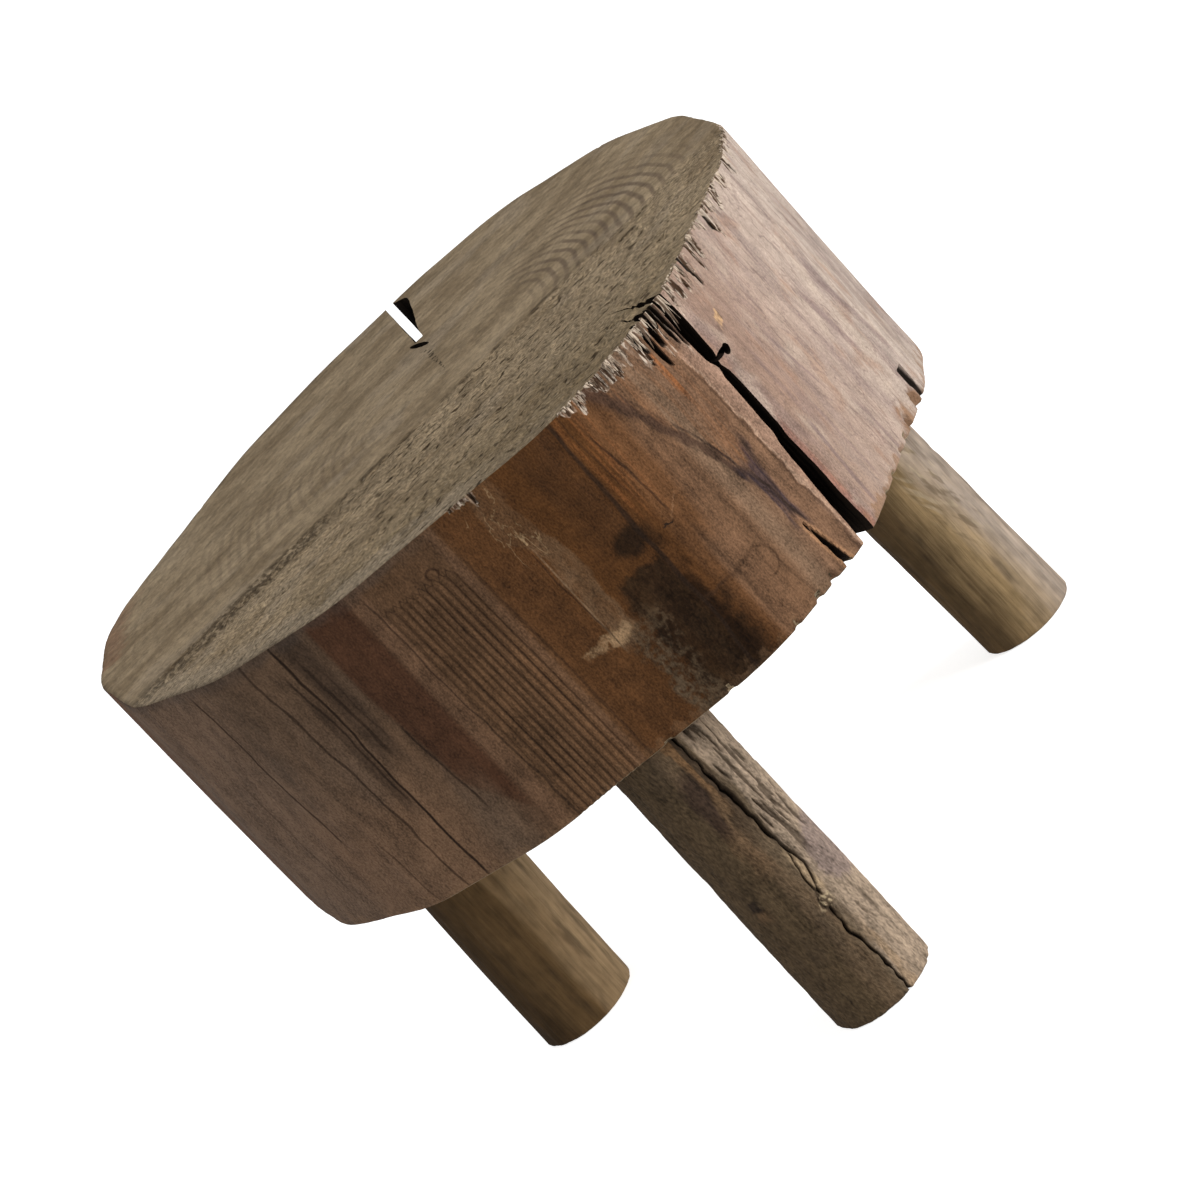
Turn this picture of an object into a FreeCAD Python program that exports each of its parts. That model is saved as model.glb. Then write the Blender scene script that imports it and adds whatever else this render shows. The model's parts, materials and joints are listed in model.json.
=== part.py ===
"""Rustic stool: a thick round of log on three splayed pole legs, in blind fox-wedged mortises.

Frame: +Z up, the floor at Z = 0, the origin under the middle of the seat, the front leg towards -Y.
Sizes are in millimetres and degrees.
"""
import FreeCAD, Part
import os
import Sketcher

# Driving dimensions, one sheet cell each
SIZES = [
    ("seat_height", 281.5, "floor to the sawn top of the seat"),
    ("seat_thickness", 133.5, "length of log left in the seat"),
    ("seat_radius", 178, "round on which the corners of the hewn flats lie, before their swell"),
    ("rim_blend", 70, "radius that rounds one hewn flat into the next"),
    ("top_arris", 1.5, "chamfer round the sawn top"),
    ("bottom_arris", 4, "rounding of the lower edge"),
    ("pith_x", 22.5, "heart of the log, off the middle"),
    ("pith_y", 1.5, "heart of the log, off the middle"),
    ("front_check_bearing", -54.5, "direction of the front check, seen from the pith"),
    ("front_check_length", 92, "how far the front check runs in from the rim"),
    ("front_check_top", 5.5, "its width at the top of the rim"),
    ("front_check_waist", 3, "its width where it is narrowest"),
    ("front_check_foot", 7.5, "its width at the lower edge"),
    ("front_check_waist_height", 92, "height of the narrowest place above the underside"),
    ("rear_check_bearing", 97, "direction of the rear check, seen from the pith"),
    ("rear_check_length", 88, "how far the rear check runs in from the rim"),
    ("rear_check_mouth", 9, "its width at the rim"),
    ("rear_check_end", 4.5, "its width at its blunt inner end"),
    ("rear_check_share", 0.45, "share of these widths that is left at the underside"),
    ("leg_inset", 35.5, "seat radius to the leg's axis, at the underside"),
    ("front_bearing", -90, "where the front leg stands"),
    ("front_splay", 2.5, "lean of the front leg, foot outwards"),
    ("front_diameter", 50, "front leg, at the shoulder"),
    ("front_swelling", 1, "growth of the front leg's diameter, shoulder to foot"),
    ("right_bearing", 30, "where the right leg stands"),
    ("right_splay", 3, "lean of the right leg, foot outwards"),
    ("right_diameter", 49, "right leg, at the shoulder"),
    ("right_swelling", -0.5, "growth of the right leg's diameter, shoulder to foot"),
    ("left_bearing", 156.5, "where the left leg stands"),
    ("left_splay", 2, "lean of the left leg, foot outwards"),
    ("left_diameter", 51, "left leg, at the shoulder"),
    ("left_swelling", 0.5, "growth of the left leg's diameter, shoulder to foot"),
    ("foot_arris", 1.5, "chamfer round the foot"),
    ("tenon_diameter", 36, "auger size of the blind mortises, less the fit"),
    ("tenon_length", 72, "tenon above the shoulder"),
    ("tenon_straight", 28, "part of the tenon that stays parallel"),
    ("tenon_flare", 1.2, "how far the wedge spreads the tenon's end, on the radius"),
    ("mortise_spare", 3, "room between the tenon's end and the mortise floor"),
    ("joint_fit", 0.1, "gap all round between a tenon and its mortise"),
    ("wedge_length", 44, "fox wedge, mortise floor to tip"),
    ("wedge_thickness", 5, "fox wedge at the mortise floor"),
    ("wedge_tip", 1, "fox wedge at its tip"),
    ("wedge_width", 28, "fox wedge across the tenon"),
    ("wedge_fit", 0.05, "gap between the wedge and each cheek of its kerf"),
    ("kerf_spare", 0.5, "room under the wedge's tip"),
    ("leg_check_bearing", 22, "where the long check runs on the front leg, from its outer side"),
    ("leg_check_width", 3.2, "its width at the surface"),
    ("leg_check_depth", 9, "its depth"),
]

# Corners of the hewn flats: bearing from +X, and swell outside the seat radius
RIM_CORNERS = [
    (3.5, 2), (25.5, 5), (45.5, 7.5), (68, 9.5), (84, -1), (103, -9), (122, -9), (143, -11), (161.5, 7),
    (184, 2), (207, 2), (229.5, 1), (251.5, -1), (290, 9.5), (311, 7.5), (348.5, -2),
]

LEGS = ("front", "right", "left")
UNDERSIDE = "(dims.seat_height - dims.seat_thickness)"
LEG_CIRCLE = "(dims.seat_radius - dims.leg_inset)"
MORTISE_DEPTH = "(dims.tenon_length + dims.mortise_spare)"
# Cuts run this far past the wood, so that no skin is left
OVERCUT = "10"
# Checks are drawn past the rim by this share of their length, opening at the same rate
PAST_RIM = "0.3"


def fill_sheet(sheet, rows):
    """One row per size: its words, then its value under its own name."""
    for row, (name, value, words) in enumerate(rows, start=1):
        sheet.set(f"A{row}", words)
        sheet.set(f"B{row}", str(value))
        sheet.setAlias(f"B{row}", name)


def rim_rows():
    """The rim's corners as named sizes, counted round from +X."""
    rows = []
    for number, (bearing, swell) in enumerate(RIM_CORNERS, start=1):
        rows.append((f"rim_bearing_{number:02}", bearing, f"direction of rim corner {number}"))
        rows.append((f"rim_swell_{number:02}", swell, f"rim corner {number}, outside the seat radius"))
    return rows


def sketch_on(body, role, name):
    """A sketch on one of the body's own origin planes."""
    sketch = body.newObject("Sketcher::SketchObject", name)
    plane = [part for part in body.Origin.OriginFeatures if part.Role == role][0]
    sketch.AttachmentSupport = [(plane, "")]
    sketch.MapMode = "FlatFace"
    return sketch


def draw_outline(sketch, corners):
    """A closed outline of straight lines, each corner held by two expressions."""
    places = [[float(sketch.evalExpression(text)) for text in corner] for corner in corners]
    first = sketch.GeometryCount
    count = len(corners)
    for index in range(count):
        start = FreeCAD.Vector(*places[index], 0)
        end = FreeCAD.Vector(*places[(index + 1) % count], 0)
        sketch.addGeometry(Part.LineSegment(start, end))
    for index in range(count):
        following = first + (index + 1) % count
        sketch.addConstraint(Sketcher.Constraint("Coincident", first + index, 2, following, 1))
    for index, corner in enumerate(corners):
        for kind, text, value in zip(("DistanceX", "DistanceY"), corner, places[index]):
            place = Sketcher.Constraint(kind, -1, 1, first + index, 1, value)
            number = sketch.addConstraint(place)
            sketch.setExpression(f"Constraints[{number}]", text)


def revolve(body, kind, sketch):
    """Turn a half profile fully round the sketch's upright axis."""
    feature = body.newObject(kind, f"{sketch.Name}_turned")
    feature.Profile = sketch
    feature.ReferenceAxis = (sketch, ["V_Axis"])
    feature.Angle = 360
    return feature


def saw_through(body, sketch):
    """Cut a sketched outline away on both sides of its plane, right through."""
    cut = body.newObject("PartDesign::Pocket", f"{sketch.Name}_cut")
    cut.Profile = sketch
    cut.Type = "ThroughAll"
    cut.Midplane = True
    return cut


def edges_where(feature, wanted):
    """Names of the feature's edges that pass a test."""
    return [f"Edge{number}" for number, edge in enumerate(feature.Shape.Edges, start=1) if wanted(edge)]


def dress(body, kind, base, names, size):
    """A fillet or chamfer on named edges, its size bound to the sheet."""
    feature = body.newObject(kind, f"{base.Name}_{size}")
    feature.Base = (base, names)
    feature.setExpression("Radius" if kind.endswith("Fillet") else "Size", f"dims.{size}")
    return feature


def lies_at(edge, height):
    """Whether an edge lies flat at a height."""
    box = edge.BoundBox
    return box.ZLength < 1e-6 and abs(box.ZMin - height) < 1e-6


def leg_frame(leg, roll="0"):
    """Where a leg's axis enters the underside: local Z runs up the leg, local X points outwards."""
    bearing = f"dims.{leg}_bearing"
    return (
        f"placement(vector({LEG_CIRCLE} * cos({bearing} * 1 deg);"
        f" {LEG_CIRCLE} * sin({bearing} * 1 deg); {UNDERSIDE});"
        f" rotation({bearing}; 0 - dims.{leg}_splay; {roll}))"
    )


def make_seat(doc):
    """The round of log: hewn flats, rounded arrises, three mortises and two drying checks."""
    body = doc.addObject("PartDesign::Body", "Seat")
    body.Label = "seat_slab"
    hew_log(doc, body)
    for leg in LEGS:
        bore_mortise(body, leg)
    doc.recompute()
    open_front_check(doc, body)
    open_rear_check(doc, body)
    return body


def hew_log(doc, body):
    """Flats hewn round a length of log, blended into each other, with both edges eased."""
    rim = sketch_on(body, "XY_Plane", "rim")
    rim.setExpression("AttachmentOffset.Base.z", UNDERSIDE)
    corners = []
    for number in range(1, len(RIM_CORNERS) + 1):
        reach = f"(dims.seat_radius + dims.rim_swell_{number:02})"
        bearing = f"dims.rim_bearing_{number:02} * 1 deg"
        corners.append((f"{reach} * cos({bearing})", f"{reach} * sin({bearing})"))
    draw_outline(rim, corners)
    log = body.newObject("PartDesign::Pad", "log")
    log.Profile = rim
    log.setExpression("Length", "dims.seat_thickness")
    doc.recompute()
    box = log.Shape.BoundBox
    upright = edges_where(log, lambda edge: edge.BoundBox.ZLength > box.ZLength / 2)
    hewn = dress(body, "PartDesign::Fillet", log, upright, "rim_blend")
    doc.recompute()
    upper = edges_where(hewn, lambda edge: lies_at(edge, box.ZMax))
    eased = dress(body, "PartDesign::Chamfer", hewn, upper, "top_arris")
    doc.recompute()
    lower = edges_where(eased, lambda edge: lies_at(edge, box.ZMin))
    dress(body, "PartDesign::Fillet", eased, lower, "bottom_arris")
    doc.recompute()


def bore_mortise(body, leg):
    """A blind socket on the leg's axis: the tenon's own profile, larger by the fit."""
    bore = body.newObject("Sketcher::SketchObject", f"{leg}_mortise")
    bore.setExpression("Placement", leg_frame(leg, roll="90"))
    wall = "(dims.tenon_diameter / 2 + dims.joint_fit)"
    flare = "dims.tenon_flare / (dims.tenon_length - dims.tenon_straight)"
    floor_wall = f"{wall} + {flare} * ({MORTISE_DEPTH} - dims.tenon_straight)"
    draw_outline(bore, [
        ("0", f"0 - {OVERCUT}"), (wall, f"0 - {OVERCUT}"), (wall, "dims.tenon_straight"),
        (floor_wall, MORTISE_DEPTH), ("0", MORTISE_DEPTH),
    ])
    revolve(body, "PartDesign::Groove", bore)


def check_section(body, check, place, height, corners):
    """The outline of a check at one height, in axes that start at the pith and run out along it."""
    sketch = body.newObject("Sketcher::SketchObject", f"{check}_{place}")
    turn = f"rotation(dims.{check}_bearing; 0; 0)"
    sketch.setExpression("Placement", f"placement(vector(dims.pith_x; dims.pith_y; {height}); {turn})")
    draw_outline(sketch, corners)
    return sketch


def split_wood(doc, body, check, sections):
    """Take a check out of the wood, from its lowest section to its highest."""
    doc.recompute()
    cut = body.newObject("PartDesign::SubtractiveLoft", check)
    cut.Profile = sections[0]
    cut.Sections = sections[1:]
    cut.Ruled = True


def open_front_check(doc, body):
    """The front check: a vee that closes towards the pith, nipped in at its waist."""
    apex = "dims.seat_radius - dims.front_check_length"
    reach = f"dims.seat_radius + {PAST_RIM} * dims.front_check_length"
    heights = {
        "foot": f"{UNDERSIDE} - {OVERCUT}",
        "waist": f"{UNDERSIDE} + dims.front_check_waist_height",
        "top": f"dims.seat_height + {OVERCUT}",
    }
    sections = []
    for place, height in heights.items():
        half = f"dims.front_check_{place} * (1 + {PAST_RIM}) / 2"
        vee = [(apex, "0"), (reach, f"0 - {half}"), (reach, half)]
        sections.append(check_section(body, "front_check", place, height, vee))
    split_wood(doc, body, "front_check", sections)


def open_rear_check(doc, body):
    """The rear check: an open slit with a blunt inner end, narrower towards the underside."""
    inner = "dims.seat_radius - dims.rear_check_length"
    reach = f"dims.seat_radius + {PAST_RIM} * dims.rear_check_length"
    growth = "(dims.rear_check_mouth - dims.rear_check_end)"
    sections = []
    for place, height, share in (
        ("foot", f"{UNDERSIDE} - {OVERCUT}", "dims.rear_check_share"),
        ("top", f"dims.seat_height + {OVERCUT}", "1"),
    ):
        end = f"{share} * dims.rear_check_end / 2"
        mouth = f"{share} * (dims.rear_check_mouth + {PAST_RIM} * {growth}) / 2"
        slit = [(inner, f"0 - {end}"), (reach, f"0 - {mouth}"), (reach, mouth), (inner, end)]
        sections.append(check_section(body, "rear_check", place, height, slit))
    split_wood(doc, body, "rear_check", sections)


def make_leg(doc, leg):
    """A pole sawn level at both ends, with a round tenon, kerfed for its wedge."""
    body = doc.addObject("PartDesign::Body", f"Leg_{leg}")
    body.Label = f"leg_{leg}"
    body.setExpression("Placement", leg_frame(leg))
    shoulder = f"dims.{leg}_diameter / 2"
    foot = f"(dims.{leg}_diameter + dims.{leg}_swelling) / 2"
    low = f"0 - {UNDERSIDE} - {OVERCUT}"
    pole = sketch_on(body, "XZ_Plane", f"{leg}_pole")
    draw_outline(pole, [("0", low), (foot, low), (shoulder, OVERCUT), ("0", OVERCUT)])
    revolve(body, "PartDesign::Revolution", pole)

    sawn = level_ends(body, leg)
    doc.recompute()
    sole = min(sawn.Shape.Faces, key=lambda face: face.CenterOfMass.z)
    rim = edges_where(sawn, lambda edge: any(edge.isSame(other) for other in sole.Edges))
    dress(body, "PartDesign::Chamfer", sawn, rim, "foot_arris")
    if leg == "front":
        make_leg_check(body)

    tenon = sketch_on(body, "XZ_Plane", f"{leg}_tenon")
    radius = "dims.tenon_diameter / 2"
    draw_outline(tenon, [
        ("0", f"0 - {OVERCUT}"), (radius, f"0 - {OVERCUT}"), (radius, "dims.tenon_straight"),
        (f"{radius} + dims.tenon_flare", "dims.tenon_length"), ("0", "dims.tenon_length"),
    ])
    revolve(body, "PartDesign::Revolution", tenon)
    kerf = sketch_on(body, "XZ_Plane", f"{leg}_kerf")
    draw_outline(kerf, wedge_outline("dims.wedge_fit", "dims.kerf_spare", OVERCUT))
    saw_through(body, kerf)
    return body


def level_ends(body, leg):
    """Saw the leaning pole level with the underside of the seat and with the floor."""
    ends = sketch_on(body, "XZ_Plane", f"{leg}_level_ends")
    wide = f"dims.{leg}_diameter"
    rise = f"{wide} * tan(dims.{leg}_splay * 1 deg)"
    clear = f"(2 * {OVERCUT} + {wide})"
    floor = f"0 - {UNDERSIDE} / cos(dims.{leg}_splay * 1 deg)"
    draw_outline(ends, [
        (f"0 - {wide}", rise), (wide, f"0 - {rise}"), (wide, clear), (f"0 - {wide}", clear),
    ])
    draw_outline(ends, [
        (f"0 - {wide}", f"{floor} + {rise}"), (f"0 - {wide}", f"{floor} - {clear}"),
        (wide, f"{floor} - {clear}"), (wide, f"{floor} - {rise}"),
    ])
    return saw_through(body, ends)


def make_leg_check(body):
    """The long drying check down the front leg, a narrow vee from shoulder to foot."""
    vee = sketch_on(body, "XY_Plane", "leg_check")
    vee.setExpression(
        "AttachmentOffset", "placement(vector(0; 0; 0); rotation(dims.leg_check_bearing; 0; 0))"
    )
    surface = "dims.front_diameter / 2"
    apex = f"{surface} - dims.leg_check_depth"
    reach = f"{surface} + {PAST_RIM} * dims.leg_check_depth"
    half = f"dims.leg_check_width * (1 + {PAST_RIM}) / 2"
    draw_outline(vee, [(apex, "0"), (reach, f"0 - {half}"), (reach, half)])
    saw_through(body, vee)


def wedge_outline(fit="0", spare="0", past="0"):
    """The wedge seen along its width: tip down, thick end on the mortise floor."""
    slope = "(dims.wedge_thickness - dims.wedge_tip) / dims.wedge_length / 2"
    thin = f"(dims.wedge_tip / 2 + {fit})"
    thick = f"(dims.wedge_thickness / 2 + {fit} + {past} * {slope})"
    tip = f"{MORTISE_DEPTH} - dims.wedge_length - {spare}"
    end = f"{MORTISE_DEPTH} + {past}"
    return [(f"0 - {thin}", tip), (thin, tip), (thick, end), (f"0 - {thick}", end)]


def make_wedge(doc, leg):
    """The fox wedge that stands on the mortise floor and spreads the tenon."""
    body = doc.addObject("PartDesign::Body", f"Wedge_{leg}")
    body.Label = f"wedge_{leg}"
    body.setExpression("Placement", leg_frame(leg))
    outline = sketch_on(body, "XZ_Plane", f"{leg}_wedge")
    draw_outline(outline, wedge_outline())
    blade = body.newObject("PartDesign::Pad", f"{leg}_blade")
    blade.Profile = outline
    blade.Midplane = True
    blade.setExpression("Length", "dims.wedge_width")
    return body


def check_document(doc, bodies):
    """Stop if any object failed, or a piece is not one sound solid."""
    for item in doc.Objects:
        if "Invalid" in item.State or "Error" in item.State:
            raise RuntimeError(f"{item.Name} failed: {item.State}")
    for body in bodies:
        shape = body.Shape
        if shape.isNull() or not shape.isValid() or len(shape.Solids) != 1:
            raise RuntimeError(f"{body.Label} is not one sound solid")


def main():
    doc = FreeCAD.newDocument("rustic_stool")
    sheet = doc.addObject("Spreadsheet::Sheet", "dims")
    fill_sheet(sheet, SIZES + rim_rows())
    doc.recompute()
    bodies = [make_seat(doc)]
    bodies += [make_leg(doc, leg) for leg in LEGS]
    bodies += [make_wedge(doc, leg) for leg in LEGS]
    doc.recompute()
    check_document(doc, bodies)
    os.makedirs("parts", exist_ok=True)
    for body in bodies:
        body.Shape.exportStep(f"parts/{body.Label}.step")
        box = body.Shape.BoundBox
        spans = [(box.XMin, box.XMax), (box.YMin, box.YMax), (box.ZMin, box.ZMax)]
        words = "  ".join(f"{low:.2f}..{high:.2f}" for low, high in spans)
        print(f"{body.Label}: {body.Shape.Volume / 1000:.1f} cm3, box {words}")


main()
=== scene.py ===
# %% [markdown]
# # A log stool, hewn and weathered
# The real stool is a thick round sawn from a conifer log, standing on three peeled poles. Its top is
# end grain straight off the saw, its side was hewn along the grain, and both have dried, split and
# greyed since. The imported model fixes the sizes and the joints. This lesson gives every piece the
# shape that the axe, the saw and the weather left, and then the colour.

# %% Load the fixed frame
import itertools
import json
import math

import bmesh
import bpy
import numpy as np
from mathutils import Matrix, Vector
from mathutils.bvhtree import BVHTree


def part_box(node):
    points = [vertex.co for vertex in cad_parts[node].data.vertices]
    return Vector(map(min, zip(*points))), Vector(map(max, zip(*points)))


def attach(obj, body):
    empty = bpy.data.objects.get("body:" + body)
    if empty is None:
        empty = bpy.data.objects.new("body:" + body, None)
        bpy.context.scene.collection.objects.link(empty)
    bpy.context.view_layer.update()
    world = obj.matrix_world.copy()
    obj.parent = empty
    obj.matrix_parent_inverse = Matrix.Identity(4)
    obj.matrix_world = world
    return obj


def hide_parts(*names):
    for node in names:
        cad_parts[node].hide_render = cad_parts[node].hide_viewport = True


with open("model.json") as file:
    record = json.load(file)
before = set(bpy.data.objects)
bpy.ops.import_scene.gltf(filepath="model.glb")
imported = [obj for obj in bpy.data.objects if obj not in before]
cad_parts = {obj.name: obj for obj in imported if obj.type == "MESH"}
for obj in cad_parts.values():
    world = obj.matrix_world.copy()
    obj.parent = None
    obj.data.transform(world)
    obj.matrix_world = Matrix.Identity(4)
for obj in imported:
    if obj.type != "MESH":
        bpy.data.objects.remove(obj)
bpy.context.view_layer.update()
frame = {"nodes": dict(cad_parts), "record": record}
MM = 0.001
seat_low, seat_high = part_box("seat_slab")
TOP = seat_high.z / MM
UNDERSIDE = seat_low.z / MM
MIDDLE = (TOP + UNDERSIDE) / 2
LEGS = ("front", "right", "left")
print(f"seat from {UNDERSIDE:.1f} to {TOP:.1f} mm above the floor")

# %% [markdown]
# ## The camera
# A camera looks along its own minus Z. We build its three axes from the bearing and the height of the
# view, then roll the two picture axes, because the stool leans over in the picture. The small shift
# slides the picture without turning the camera, so the perspective stays as it is.

# %% Camera
VIEW_BEARING = 7.7
VIEW_HEIGHT = 15.27
VIEW_ROLL = 43
VIEW_DISTANCE = 2.16
LOOK_AT = Vector((0.36, -1.6, 214.7)) * MM
LENS = 151.8
SENSOR = 36
SHIFT_X = 0.0708
SHIFT_Y = -0.0672

turn = Matrix.Rotation(math.radians(VIEW_BEARING), 3, "Z")
climb = math.radians(VIEW_HEIGHT)
roll = math.radians(VIEW_ROLL)
to_right = turn @ Vector((1, 0, 0))
ahead = turn @ Vector((0, math.cos(climb), -math.sin(climb)))
upward = turn @ Vector((0, math.sin(climb), math.cos(climb)))
picture_x = to_right * math.cos(roll) - upward * math.sin(roll)
picture_y = to_right * math.sin(roll) + upward * math.cos(roll)

camera_data = bpy.data.cameras.new("camera")
camera_data.lens = LENS
camera_data.sensor_width = SENSOR
camera_data.shift_x = SHIFT_X
camera_data.shift_y = SHIFT_Y
camera = bpy.data.objects.new("camera", camera_data)
axes = Matrix((picture_x, picture_y, -ahead)).transposed()
camera.matrix_world = Matrix.Translation(LOOK_AT - ahead * VIEW_DISTANCE) @ axes.to_4x4()
bpy.context.scene.collection.objects.link(camera)
bpy.context.scene.camera = camera
print(f"camera {camera.matrix_world.translation.z:.2f} m above the floor")

# %% [markdown]
# ## The studio
# A wide pale floor runs out under a white world, so no horizon shows. One big soft lamp on the right
# models the round forms, and a weak one on the left keeps the shaded side from going black. The world
# and the floor look white to the camera but give less light than that, or they would flatten the shapes.

# %% Floor, world and lamps
FLOOR_SIZE = 30
WORLD_LIGHT = 0.42
FLOOR_GLOW = 0.78
FLOOR_BOUNCE = 0.25


def seen_or_lit(tree, seen, lit):
    """A strength for what the camera sees, and another for the light that is given off."""
    path = tree.nodes.new("ShaderNodeLightPath")
    strength = tree.nodes.new("ShaderNodeMix")
    tree.links.new(path.outputs["Is Camera Ray"], strength.inputs[0])
    strength.inputs[2].default_value = lit
    strength.inputs[3].default_value = seen
    return strength.outputs[0]


def add_lamp(name, bearing, height, distance, size, power):
    """A square soft lamp that faces the seat."""
    lamp = bpy.data.objects.new(name, bpy.data.lights.new(name, "AREA"))
    lamp.data.size = size
    lamp.data.energy = power
    spin, lift = math.radians(bearing), math.radians(height)
    away = Vector((math.cos(spin) * math.cos(lift), math.sin(spin) * math.cos(lift), math.sin(lift)))
    lamp.location = LOOK_AT + away * distance
    lamp.rotation_euler = away.to_track_quat("Z", "Y").to_euler()
    bpy.context.scene.collection.objects.link(lamp)


world = bpy.data.worlds.new("white_world")
world.use_nodes = True
bpy.context.scene.world = world
sky = world.node_tree.nodes["Background"]
sky.inputs["Color"].default_value = (1, 1, 1, 1)
world.node_tree.links.new(seen_or_lit(world.node_tree, 1.0, WORLD_LIGHT), sky.inputs["Strength"])

floor_mesh = bpy.data.meshes.new("floor")
sheet = bmesh.new()
bmesh.ops.create_grid(sheet, x_segments=1, y_segments=1, size=FLOOR_SIZE / 2)
sheet.to_mesh(floor_mesh)
sheet.free()
floor = bpy.data.objects.new("floor", floor_mesh)
bpy.context.scene.collection.objects.link(floor)
floor_paint = bpy.data.materials.new("floor_paint")
floor_paint.use_nodes = True
paint = floor_paint.node_tree.nodes["Principled BSDF"]
paint.inputs["Base Color"].default_value = (0.8, 0.8, 0.8, 1)
paint.inputs["Roughness"].default_value = 0.9
paint.inputs["Emission Color"].default_value = (1, 1, 1, 1)
glow = seen_or_lit(floor_paint.node_tree, FLOOR_GLOW, FLOOR_BOUNCE)
floor_paint.node_tree.links.new(glow, paint.inputs["Emission Strength"])
floor_mesh.materials.append(floor_paint)

add_lamp("key_lamp", bearing=-25, height=28, distance=2.4, size=1.5, power=52)
add_lamp("fill_lamp", bearing=-150, height=40, distance=3.0, size=2.0, power=9)
bpy.context.scene.view_settings.view_transform = "Standard"

# %% [markdown]
# ## Working in millimetres and bearings
# Checks, hewn flats and torn fibres all follow the log, so their places are given as a bearing seen from
# the pith, in degrees, and a height above the floor, in millimetres. Small helpers do the sums on whole
# arrays at once: a smooth step, a piecewise line and a smooth noise whose lumps may be stretched along
# the grain. The noise hashes whole numbers, so it gives the same wood every time. The other helpers carry
# points and values between arrays and meshes.

# %% Array helpers
PITH = np.array([22.5, 1.5])
HASH = np.array([374761393, 668265263, 1274126177], dtype=np.int64)
HASH_BITS = 0xFFFF
SEED_STEP = 7919


def ease(value, low, high):
    """0 below low, 1 above high, and a smooth step between them."""
    share = np.clip((value - low) / (high - low), 0, 1)
    return share * share * (3 - 2 * share)


def follow(value, *points):
    """A line through points of (value, result), level past its ends."""
    places, results = zip(*sorted(points))
    return np.interp(value, places, results)


def lumps(points, size, seed):
    """Smooth noise from -1 to 1 at points in mm, with lumps of that size along x, y and z."""
    cell = points / np.asarray(size, dtype=float)
    corner = np.floor(cell).astype(np.int64)
    share = cell - corner
    share = share * share * (3 - 2 * share)
    total = np.zeros(len(points))
    for step in itertools.product((0, 1), repeat=3):
        mixed = ((corner + step) * HASH).sum(axis=1) + seed * SEED_STEP
        mixed = (mixed ^ (mixed >> 13)) * HASH[2]
        value = ((mixed ^ (mixed >> 16)) & HASH_BITS) / HASH_BITS * 2 - 1
        total += value * np.prod(np.where(step, share, 1 - share), axis=1)
    return total


def hollows(points, *layers):
    """Depths of noise that start at 0, from layers of (mean depth, size of its lumps, seed)."""
    return sum(mean + mean * lumps(points, size, seed) for mean, size, seed in layers)


def polar(points):
    """Bearing in degrees and distance from the pith, of points in mm."""
    away = points[:, :2] - PITH
    return np.degrees(np.arctan2(away[:, 1], away[:, 0])), np.hypot(away[:, 0], away[:, 1])


def read_places(mesh, unit=MM):
    """A mesh's vertices as an array of mm; a blank that is still to be shaped has 1 mm as its unit."""
    places = np.empty(len(mesh.vertices) * 3)
    mesh.vertices.foreach_get("co", places)
    return places.reshape(-1, 3) / unit


def write_places(mesh, places):
    """Put an array of mm back into a mesh."""
    mesh.vertices.foreach_set("co", (places * MM).ravel())
    mesh.update()


def store(mesh, name, values):
    """Keep one number for each point of a mesh."""
    layer = mesh.attributes.new(name, "FLOAT", "POINT")
    layer.data.foreach_set("value", np.asarray(values, dtype=np.float32))


def object_from(bm, name):
    """A bmesh as an object of the scene."""
    mesh = bpy.data.meshes.new(name)
    bm.to_mesh(mesh)
    bm.free()
    piece = bpy.data.objects.new(name, mesh)
    bpy.context.scene.collection.objects.link(piece)
    return piece


# %% [markdown]
# ## The hewn outline
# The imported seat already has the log's outline, flat by flat. We read it back by looking in at the seat
# from outside, one bearing at a time. A ray that slips into an open check goes far too deep, so those
# bearings are filled from their neighbours.

# %% Measure the outline round the pith
BEARINGS = np.arange(-180, 180, 0.5)
OUTSIDE = 400
SLIP = 2.0
NEIGHBOURS = 8
seat_mesh = frame["nodes"]["seat_slab"].data
seat_skin = BVHTree.FromPolygons(
    [vertex.co for vertex in seat_mesh.vertices], [face.vertices for face in seat_mesh.polygons]
)


def look_in(bearing):
    """Distance from the pith to the seat's side, in mm."""
    out = Vector((math.cos(math.radians(bearing)), math.sin(math.radians(bearing)), 0))
    start = Vector((*PITH, MIDDLE)) + out * OUTSIDE
    return OUTSIDE - seat_skin.ray_cast(start * MM, -out)[3] / MM


looked = np.array([look_in(bearing) for bearing in BEARINGS])
neighbours = np.stack([np.roll(looked, shift) for shift in range(-NEIGHBOURS, NEIGHBOURS + 1)])
whole = looked > np.median(neighbours, axis=0) - SLIP


def rim_radius(bearing):
    """The seat's outline round the pith, in mm."""
    return np.interp(bearing, BEARINGS[whole], looked[whole], period=360)


print(f"outline {looked[whole].min():.0f} to {looked[whole].max():.0f} mm from the pith")

# %% [markdown]
# ## The blank of the seat
# A lathe would be the natural start: one profile turned about the pith gives bands of quads that follow
# both the growth rings and the grain. Spinning some hundred thousand faces step by step is slow, so a flat
# grid is wrapped round instead, one profile point to each row, and its seam is welded. The rim gets many
# columns, and the bands inside it only a half to an eighth as many, or the spokes would crowd at the pith.
# Bridging joins the bands into one closed skin.

# %% Wrap the blank
NOMINAL = 175
RIM_COLUMNS = 840
SPACING_TOP = 2.0
SPACING_SIDE = 3.2
RIM_TOP = 138
RIM_FOOT = 150


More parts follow.
